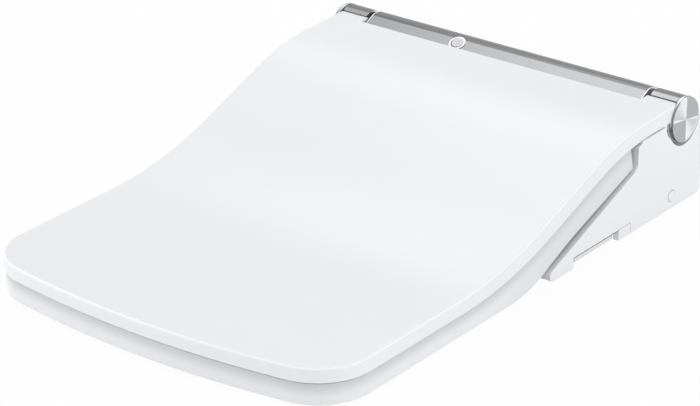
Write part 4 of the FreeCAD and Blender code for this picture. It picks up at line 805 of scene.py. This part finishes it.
class Form:
    """A mesh in the making, in millimetres in the row's frame."""

    def __init__(self) -> None:
        """Start with nothing."""
        self.points: list[Point] = []
        self.faces: list[tuple[int, ...]] = []

    def loft(self, rings: list[list[Point]]) -> "Form":
        """Skin a row of rings that have as many points each, and close both ends.

        Args:
            rings: the rings, in order.

        Returns:
            The form itself.
        """
        count = len(rings[0])
        starts = [len(self.points) + row * count for row in range(len(rings))]
        for ring in rings:
            self.points.extend(ring)
        for near, far in zip(starts, starts[1:]):
            self.band(near, far, count)
        self.faces += [tuple(range(end, end + count)) for end in (starts[0], starts[-1])]
        return self

    def band(self, near: int, far: int, count: int) -> None:
        """Join two rings of points with a band of faces.

        Args:
            near: the first ring's first point.
            far: the second ring's first point.
            count: how many points a ring has.
        """
        for step in range(count):
            after = (step + 1) % count
            self.faces.append((near + step, near + after, far + after, far + step))

    def prism(self, outline: list[Pair], low: float, high: float) -> "Form":
        """Draw an outline of (Y, Z) corners out along X, from low to high."""
        return self.loft([[(across, *corner) for corner in outline] for across in (low, high)])

    def lathe(self, profile: list[Pair]) -> "Form":
        """Turn a profile of (X, radius) corners about the hinge line, and close its ends."""
        turns = [math.tau * step / CIRCLE_STEPS for step in range(CIRCLE_STEPS)]
        return self.loft([[around(HINGE, across, radius, turn) for turn in turns]
                          for across, radius in profile])

    def ring(self, section: list[Pair], centre: Pair, steps: int) -> "Form":
        """Carry a closed section all the way round a line along X.

        Args:
            section: the section's (X, radius) corners.
            centre: the line's Y and Z.
            steps: how many flats make the circle.

        Returns:
            The form itself.
        """
        start, count = len(self.points), len(section)
        for step in range(steps):
            turn = math.tau * step / steps
            self.points.extend(around(centre, across, radius, turn) for across, radius in section)
        for step in range(steps):
            self.band(start + step * count, start + (step + 1) % steps * count, count)
        return self

    def sweep(self, section: list[Pair], start: float, stop: float, steps: int) -> "Form":
        """Carry an (X, radius) section round the hinge line from one angle to another."""
        turns = [math.radians(start + (stop - start) * step / steps) for step in range(steps + 1)]
        return self.loft([[around(HINGE, across, radius, turn) for across, radius in section]
                          for turn in turns])

    def coil(self, centre: Pair, ends: Pair, radius: float, wire: float, turns: float) -> "Form":
        """Wind a wire round X, with closed end turns.

        Args:
            centre: the coil's middle, in Y and Z.
            ends: where it starts and ends along X.
            radius: from the middle to the wire's middle.
            wire: the wire's own radius.
            turns: how many turns it has in all.

        Returns:
            The form itself.
        """
        low, high = ends
        steps = int(turns * COIL_STEPS)
        leans = [math.tau * flat / WIRE_FLATS for flat in range(WIRE_FLATS)]
        rings = []
        for step in range(steps + 1):
            share = step / steps
            eased = min(max((share - 1 / turns) / (1 - 2 / turns), 0.0), 1.0)
            lead = min(share, 1 / turns) * turns
            tail = max(share - 1 + 1 / turns, 0.0) * turns
            across = (low + wire * (1 + lead - tail) + (high - low - 4 * wire) * eased
                      + wire * (share > 0.5))
            turn = math.tau * turns * share
            rings.append([around(centre, across + wire * math.sin(lean),
                                 radius + wire * math.cos(lean), turn) for lean in leans])
        return self.loft(rings)

    def piece(self, name: str) -> bpy.types.Object:
        """Make the object.

        Args:
            name: the object's name.

        Returns:
            The object, smooth but for the edges that bend by more than SHARP_DEGREES.
        """
        mesh = bpy.data.meshes.new(name)
        mesh.from_pydata([Vector(point) * MM for point in self.points], [], self.faces)
        shape = bmesh.new()
        shape.from_mesh(mesh)
        bmesh.ops.recalc_face_normals(shape, faces=shape.faces)
        shape.to_mesh(mesh)
        shape.free()
        mesh.shade_smooth()
        mesh.set_sharp_from_angle(angle=math.radians(SHARP_DEGREES))
        return into_scene(name, mesh)


Special = dict[str, Finish]


class Workshop:
    """Keeps the materials, dresses the model's nodes and sets out new pieces."""

    def __init__(self) -> None:
        """Make each finish's material once, and read the record's slots."""
        self.materials = {finish.slot: finish.material() for finish in FINISHES}
        self.slots = {row["node"]: row["material_slot"] for row in frame["record"]["subparts"]}

    def coat(self, thing: bpy.types.Object, slot: str, special: Finish | None = None) -> None:
        """Give an object one finish.

        Args:
            thing: the object.
            slot: its material slot.
            special: a finish in place of the slot's own.
        """
        thing.data.materials.clear()
        thing.data.materials.append(special.material() if special else self.materials[slot])

    def dress(self, node: str, special: Finish | None = None) -> None:
        """Give a node of the model the finish that the record names for it, or one of its own."""
        self.coat(frame["nodes"][node], self.slots[node], special)

    def set_out(self, form: Form, name: str, slot: str, body: str,
                special: Finish | None = None) -> bpy.types.Object:
        """Make a new piece of a form, coat it and let it ride on a body.

        Args:
            form: the piece's form.
            name: the piece's name.
            slot: the material slot that it takes its finish from.
            body: the body that it moves with.
            special: a finish in place of the slot's own.

        Returns:
            The piece.
        """
        piece = form.piece(name)
        self.coat(piece, slot, special)
        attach(piece, body)
        LOG.info("made %s in %s on %s", name, slot, body)
        return piece


@dataclass
class Assembly:
    """A sub-assembly: the nodes of the model that it dresses and the pieces that it adds."""

    nodes: ClassVar[Names] = ()
    special: ClassVar[Special] = {}

    def build(self, workshop: Workshop) -> None:
        """Build the pieces that the model lacks, which is none unless a class says so."""

    def dress(self, workshop: Workshop) -> None:
        """Give each node its finish, or the special one that the class names for it.

        Args:
            workshop: what holds the materials.
        """
        for node in self.nodes:
            workshop.dress(node, self.special.get(node))
        LOG.info("dressed %s: %s", type(self).__name__, ", ".join(self.nodes))


@dataclass
class BasePlate(Assembly):
    """The docking plate on the bowl."""

    nodes: ClassVar[Names] = ("base_plate",)


@dataclass
class Housing(Assembly):
    """The case, its side covers and the silver bar, with the lips at the hinge, bright ends on the
    bar as painted highlights, and dark plates of painted shade beyond them.
    """

    nodes: ClassVar[Names] = (
        "upper_case", "lower_case", "side_cover_right", "side_cover_left", "hinge_strip",
        "case_screws", "case_pillars", "cord_gland",
    )
    special: ClassVar[Special] = {"side_cover_right": SHADED_COVER, "side_cover_left": SHADED_COVER}
    lip_across: Pair = (187.4, 190.02)
    lip_corners: tuple[Pair, ...] = (
        (69.8, -0.6), (68.6, 1.0), (66.0, 2.0), (40.0, 2.5), (30.9, 2.4), (29.6, -1.0),
        (27.4, -6.1), (34.6, 1.6), (69.8, -1.4),
    )
    # dark strips along the finger notch's edges, as painted shade
    lines: tuple[tuple[Pair, ...], ...] = (
        ((-137.45, 9.0), (-136.8, 9.0), (-136.8, 12.5), (-67.7, 12.5), (-67.7, 13.28),
         (-137.45, 13.28)),
        ((-67.6, 13.36), (-48.97, 13.36), (-48.97, 3.2), (-48.68, 3.2), (-48.68, 13.63),
         (-67.6, 13.63)),
    )
    line_across: Pair = (188.6, 189.97)
    bar_across: Pair = (153.0, 153.66)
    bar_radii: Pair = (20.94, 18.7)
    bar_front: tuple[Pair, Pair] = ((15.9, 15.1), (15.9, 12.9))
    bar_stop: float = 45.0
    bar_steps: int = 12
    slope_reach: float = 3.2
    end_across: Pair = (153.72, 156.12)
    end_radius: float = 18.82
    end_front: Pair = (16.4, 12.87)
    end_rear: float = 15.2986
    end_foot: float = 8.0
    end_stop: float = 30.0
    end_steps: int = 14

    def build(self, workshop: Workshop) -> None:
        """Close the bays at the hinge, end the bar with bright plates as painted highlights and
        dark plates as painted shade, and line the finger notch with dark strips of painted shade.

        Args:
            workshop: what makes the pieces.
        """
        lines = Form()
        for outline in self.lines:
            lines.prism(outline, *self.line_across)
        workshop.set_out(lines, "notch_shade_lines", "dark_plastic", "housing")
        bay_lip = [from_hinge(*corner) for corner in self.lip_corners]
        prisms = (
            ("bay_lip", bay_lip, self.lip_across, "white_plastic", None),
            # a bright plate on each of the bar's cut ends, as a painted highlight
            ("bar_lip", self.bar_outline(), self.bar_across, "silver_trim", BRIGHT_EDGE),
            # a dark plate just beyond each of the bar's ends, as painted shade in its hollow
            ("bar_end_shade", self.end_outline(), self.end_across, "dark_plastic", None),
        )
        for name, side in SIDES.items():
            for kind, outline, (inner, outer), slot, special in prisms:
                form = Form().prism(outline, side * inner, side * outer)
                workshop.set_out(form, f"{kind}_{name}", slot, "housing", special)

    def bar_outline(self) -> list[Pair]:
        """Follow the bar's own section: its slope and its round, over and back under.

        Returns:
            The outline's (Y, Z) corners.
        """
        outer, inner = self.bar_radii
        over, under = (arc(radius, self.bar_stop, self.bar_steps) for radius in self.bar_radii)
        front, foot = (from_hinge(*corner) for corner in self.bar_front)
        return [front, from_hinge(self.slope_reach, outer), *over, *reversed(under),
                from_hinge(self.slope_reach, inner), foot]

    def end_outline(self) -> list[Pair]:
        """Follow the case's section just under the bar, a little outside it.

        Returns:
            The outline's (Y, Z) corners.
        """
        over = arc(self.end_radius, self.end_stop, self.end_steps)
        return [from_hinge(self.end_front[0], self.end_foot), from_hinge(*self.end_front),
                from_hinge(self.slope_reach, self.end_radius), *over,
                from_hinge(-self.end_rear, self.end_foot)]


@dataclass
class Sensor(Assembly):
    """The round window in the bar and its ring, which is brighter than the bar."""

    nodes: ClassVar[Names] = ("sensor_lens", "sensor_bezel")
    special: ClassVar[Special] = {"sensor_bezel": BRIGHT_RING}


@dataclass
class Hinge(Assembly):
    """The sleeves, blocks, pins and dampers, with turned end discs and the collars behind them."""

    nodes: ClassVar[Names] = (
        "hinge_sleeve_right", "hinge_sleeve_left", "hinge_block_right", "hinge_block_left",
        "hinge_pin_right", "hinge_pin_left", "lid_damper", "seat_damper", "end_disc_right",
        "end_disc_left",
    )
    disc: tuple[Pair, ...] = (
        (187.5, 12.0), (187.5, 21.2), (189.5, 21.2), (189.5, 20.2), (190.1, 20.2), (190.1, 20.9),
        (191.1, 20.9), (191.433333, 20.733333), (191.6, 20.4), (191.6, 19.9), (191.4, 19.7),
        (191.4, 0.4),
    )
    # dark rings, as painted shade, in the disc's groove and in the gap between the collar and the
    # disc
    shade_rings: tuple[tuple[Pair, Pair], ...] = (((189.5, 190.1), (20.0, 20.6)),
                                            ((186.6, 187.5), (20.3, 20.9)))
    collar: tuple[Pair, ...] = (
        (181.2, 20.8), (181.2, 21.3), (181.35, 21.55), (181.6, 21.7),
        (186.2, 21.7), (186.45, 21.55), (186.6, 21.3), (186.6, 20.8),
    )
    collar_degrees: Pair = (181.0, 345.0)
    collar_steps: int = 72

    def build(self, workshop: Workshop) -> None:
        """Turn each disc with its hub and bevel, its two dark rings of painted shade, and the
        collar behind it.

        Args:
            workshop: what makes the pieces.
        """
        for name, side in SIDES.items():
            profile, section = ([(side * across, radius) for across, radius in corners]
                                for corners in (self.disc, self.collar))
            disc = workshop.set_out(Form().lathe(profile), f"turned_disc_{name}",
                                    "spun_aluminium", "lid")
            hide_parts(f"end_disc_{name}")
            shade_rings = Form()
            for (start, end), (inner, outer) in self.shade_rings:
                band = [(side * start, inner), (side * start, outer), (side * end, outer),
                        (side * end, inner)]
                shade_rings.ring(band, HINGE, CIRCLE_STEPS)
            workshop.set_out(shade_rings, f"disc_shade_rings_{name}", "dark_plastic", "lid")
            form = Form().sweep(section, *self.collar_degrees, self.collar_steps)
            workshop.set_out(form, f"hinge_collar_{name}", "spun_aluminium", "lid", COLLAR)


@dataclass
class Seat(Assembly):
    """The ring seat with its heating foil and feet."""

    nodes: ClassVar[Names] = ("seat_top", "seat_base", "seat_heater", "seat_bumpers")
    walled: ClassVar[Names] = ("seat_top", "seat_base")
    stations: int = 24
    wall_share: float = 0.985
    least_run: float = 0.01
    end_share: float = 0.01

    def dress(self, workshop: Workshop) -> None:
        """Give each node its finish, and the seat's wall one with painted shade under the lid.

        Args:
            workshop: what holds the materials.
        """
        super().dress(workshop)
        finish = ShadedUnderRim("seat_white_shaded", GLOSS_WHITE, Gloss.POLISHED, highlight_lift=0.6, rim=self.rim())
        for node in self.walled:
            workshop.dress(node, finish)

    def rim(self) -> tuple[Pair, ...]:
        """Measure how high the lid's lower edge lies at each station along the seat.

        Returns:
            The stations and heights in millimetres, from front to back.
        """
        mesh = frame["nodes"]["lid_shell"].data
        corners = [corner.co / MM for corner in mesh.vertices]
        wall = max(corner.x for corner in corners) * self.wall_share
        runs = []
        for edge in mesh.edges:
            near, far = sorted((corners[number] for number in edge.vertices),
                               key=lambda corner: corner.y)
            if min(near.x, far.x) > wall and far.y - near.y > self.least_run:
                runs.append((near, far))
        front, back = min(near.y for near, _ in runs), max(far.y for _, far in runs)
        rows = []
        for station in range(self.stations):
            share = station / (self.stations - 1)
            place = front + (back - front) * (self.end_share + (1 - 2 * self.end_share) * share)
            crossed = [near.z + (far.z - near.z) * (place - near.y) / (far.y - near.y)
                       for near, far in runs if near.y <= place <= far.y]
            rows.append((place, min(crossed) if crossed else rows[-1][1]))
        return tuple(rows)


@dataclass
class Lid(Assembly):
    """The crowned lid, whose arms carry metal collars, and its feet."""

    nodes: ClassVar[Names] = ("lid_shell", "lid_bumpers")
    special: ClassVar[Special] = {"lid_shell": LID}


@dataclass
class Controls(Assembly):
    """The release tab and the side button, with their springs wound as coils."""

    nodes: ClassVar[Names] = ("release_tab", "release_spring_seat", "side_button",
                              "button_switch", "release_spring", "button_spring")
    springs: ClassVar[dict[str, str]] = {"release_spring": "release_press",
                                         "button_spring": "button_press"}
    wire: float = 0.3
    turns: float = 6.0
    ring_gap: float = 0.2
    ring_width: float = 0.7
    ring_across: Pair = (189.8, 190.05)
    ring_steps: int = 96

    def build(self, workshop: Workshop) -> None:
        """Ring the button's gap with painted shade, and wind each spring as a coil.

        Args:
            workshop: what makes the pieces.
        """
        # a grey ring round the button, as painted shade in its gap
        low, high = (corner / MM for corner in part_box("side_button"))
        inner = (high.z - low.z) / 2 + self.ring_gap
        back, face = self.ring_across
        ring = [(back, inner), (face, inner), (face, inner + self.ring_width),
                (back, inner + self.ring_width)]
        form = Form().ring(ring, middle(low, high), self.ring_steps)
        workshop.set_out(form, "button_gap_shade", "grey_plastic", "housing")
        for node, joint in self.springs.items():
            low, high = (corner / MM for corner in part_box(node))
            centre = middle(low, high)
            radius = (high.z - low.z) / 2 - self.wire
            form = Form().coil(centre, (low.x, high.x), radius, self.wire, self.turns)
            spring = workshop.set_out(form, f"{node}_coil", "steel", "housing")
            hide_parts(node)
            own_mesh(spring)


@dataclass
class Nozzle(Assembly):
    """The washing nozzle, its slide and its drive."""

    nodes: ClassVar[Names] = ("nozzle_wand", "nozzle_tip", "nozzle_cradle", "nozzle_motor")


@dataclass
class WaterSide(Assembly):
    """What the water passes on its way to the nozzle."""

    nodes: ClassVar[Names] = ("water_inlet", "inlet_valve", "strainer_body", "drain_plug",
                              "water_heater", "water_pump")


@dataclass
class AirSide(Assembly):
    """The warm-air dryer."""

    nodes: ClassVar[Names] = ("fan_case", "fan_rotor", "dryer_duct")


@dataclass
class Electronics(Assembly):
    """The control board and the power unit."""

    nodes: ClassVar[Names] = ("control_board", "power_unit")


ASSEMBLIES = (BasePlate, Housing, Sensor, Hinge, Seat, Lid, Controls, Nozzle, WaterSide, AirSide,
              Electronics)


@dataclass(frozen=True)
class Lamp:
    """A soft oblong lamp: where it hangs and how large and bright it is, in metres and watts."""

    name: str
    place: Point
    width: float
    height: float
    power: float
    aim: Point = (0.0, -0.2, 0.05)

    def hang(self) -> None:
        """Hang the lamp so that it looks at its aim."""
        data = bpy.data.lights.new(self.name, "AREA")
        data.shape = "RECTANGLE"
        data.size = self.width
        data.size_y = self.height
        data.energy = self.power
        lamp = into_scene(self.name, data)
        lamp.location = self.place
        look = Vector(self.aim) - Vector(self.place)
        lamp.rotation_mode = "QUATERNION"
        lamp.rotation_quaternion = look.to_track_quat("-Z", "Y")


@dataclass
class Studio:
    """The pale floor, the soft light and the camera, where the photograph was taken from."""

    place_mm: Point = (1513.40564, -2150.48123, 1175.65050)
    right_share: Point = (0.79091649, 0.61189915, -0.00552565)
    up_share: Point = (-0.25264749, 0.33475984, 0.90780234)
    focal_px: float = 3118.056
    frame_px: float = 700.0
    sensor_mm: float = 36.0
    near_m: float = 0.1
    far_m: float = 50.0
    floor_half: float = 6.0
    floor_drop: float = 0.0002
    floor_tone: float = 0.9
    shadow_share: float = 0.05
    sky_low: float = 0.58
    sky_high: float = 0.69
    sky_rise: Pair = (-0.2, 1.0)
    lamps: tuple[Lamp, ...] = (
        Lamp("key_lamp", (-0.7, 1.0, 1.85), width=1.4, height=1.4, power=12.0),
        Lamp("right_lamp", (2.4, -0.4, 0.6), width=1.8, height=1.2, power=17.0),
        Lamp("front_lamp", (-1.8, -2.1, 0.6), width=1.8, height=1.2, power=23.0),
    )

    def camera(self) -> None:
        """Stand the camera at the photograph's place and angle."""
        data = bpy.data.cameras.new("camera")
        data.sensor_width = self.sensor_mm
        data.lens = self.sensor_mm * self.focal_px / self.frame_px
        data.clip_start = self.near_m
        data.clip_end = self.far_m
        right, up = Vector(self.right_share), Vector(self.up_share)
        matrix = Matrix((right, up, right.cross(up))).transposed().to_4x4()
        matrix.translation = Vector(self.place_mm) * MM
        eye = into_scene("camera", data)
        eye.matrix_world = matrix
        bpy.context.scene.camera = eye

    def floor(self) -> None:
        """Lay the floor: plain white, with the object's soft shadow."""
        half = self.floor_half
        mesh = bpy.data.meshes.new("floor")
        corners = [(-half, -half, 0), (half, -half, 0), (half, half, 0), (-half, half, 0)]
        mesh.from_pydata(corners, [], [(0, 1, 2, 3)])
        floor = into_scene("floor", mesh)
        floor.location.z = -self.floor_drop
        shader = Shader("floor")
        tone = self.floor_tone
        shader.set(Base_Color=(tone, tone, tone), Roughness=tone, Specular_IOR_Level=0.0)
        glow = shader.add("ShaderNodeEmission", {}, {"Color": WHITE, "Strength": 1.0})
        share = shader.seen() * (1 - self.shadow_share)
        both = shader.add("ShaderNodeMixShader", {}, {0: share, 1: shader.lit, 2: glow})
        shader.feed(shader.output.inputs["Surface"], both)
        mesh.materials.append(shader.material)

    def world(self) -> None:
        """Fill the room with even light, stronger from above, and show white behind it all."""
        world = bpy.data.worlds.new("studio")
        bpy.context.scene.world = world
        world.use_nodes = True
        nodes = Nodes(world.node_tree)
        place = nodes.add("ShaderNodeTexCoord", {}, {}, "Generated")
        light = nodes.part(place, "Z").between(*self.sky_rise).ranged(self.sky_low, self.sky_high)
        room, backdrop = (
            nodes.add("ShaderNodeBackground", {}, {"Color": WHITE, "Strength": strength})
            for strength in (light, 1.0)
        )
        both = nodes.add("ShaderNodeMixShader", {}, {0: nodes.seen(), 1: room, 2: backdrop})
        nodes.node("ShaderNodeOutputWorld", {}, {"Surface": both})

    def set_up(self) -> None:
        """Make the whole studio."""
        bpy.context.scene.view_settings.view_transform = "Standard"
        self.camera()
        self.floor()
        self.world()
        for lamp in self.lamps:
            lamp.hang()


def main() -> None:
    """Set up the studio, then build and dress each sub-assembly."""
    logging.basicConfig(level=logging.INFO, format="%(name)s: %(message)s")
    Studio().set_up()
    workshop = Workshop()
    for kind in ASSEMBLIES:
        assembly = kind()
        assembly.build(workshop)
        assembly.dress(workshop)


if __name__ == "__main__":
    main()
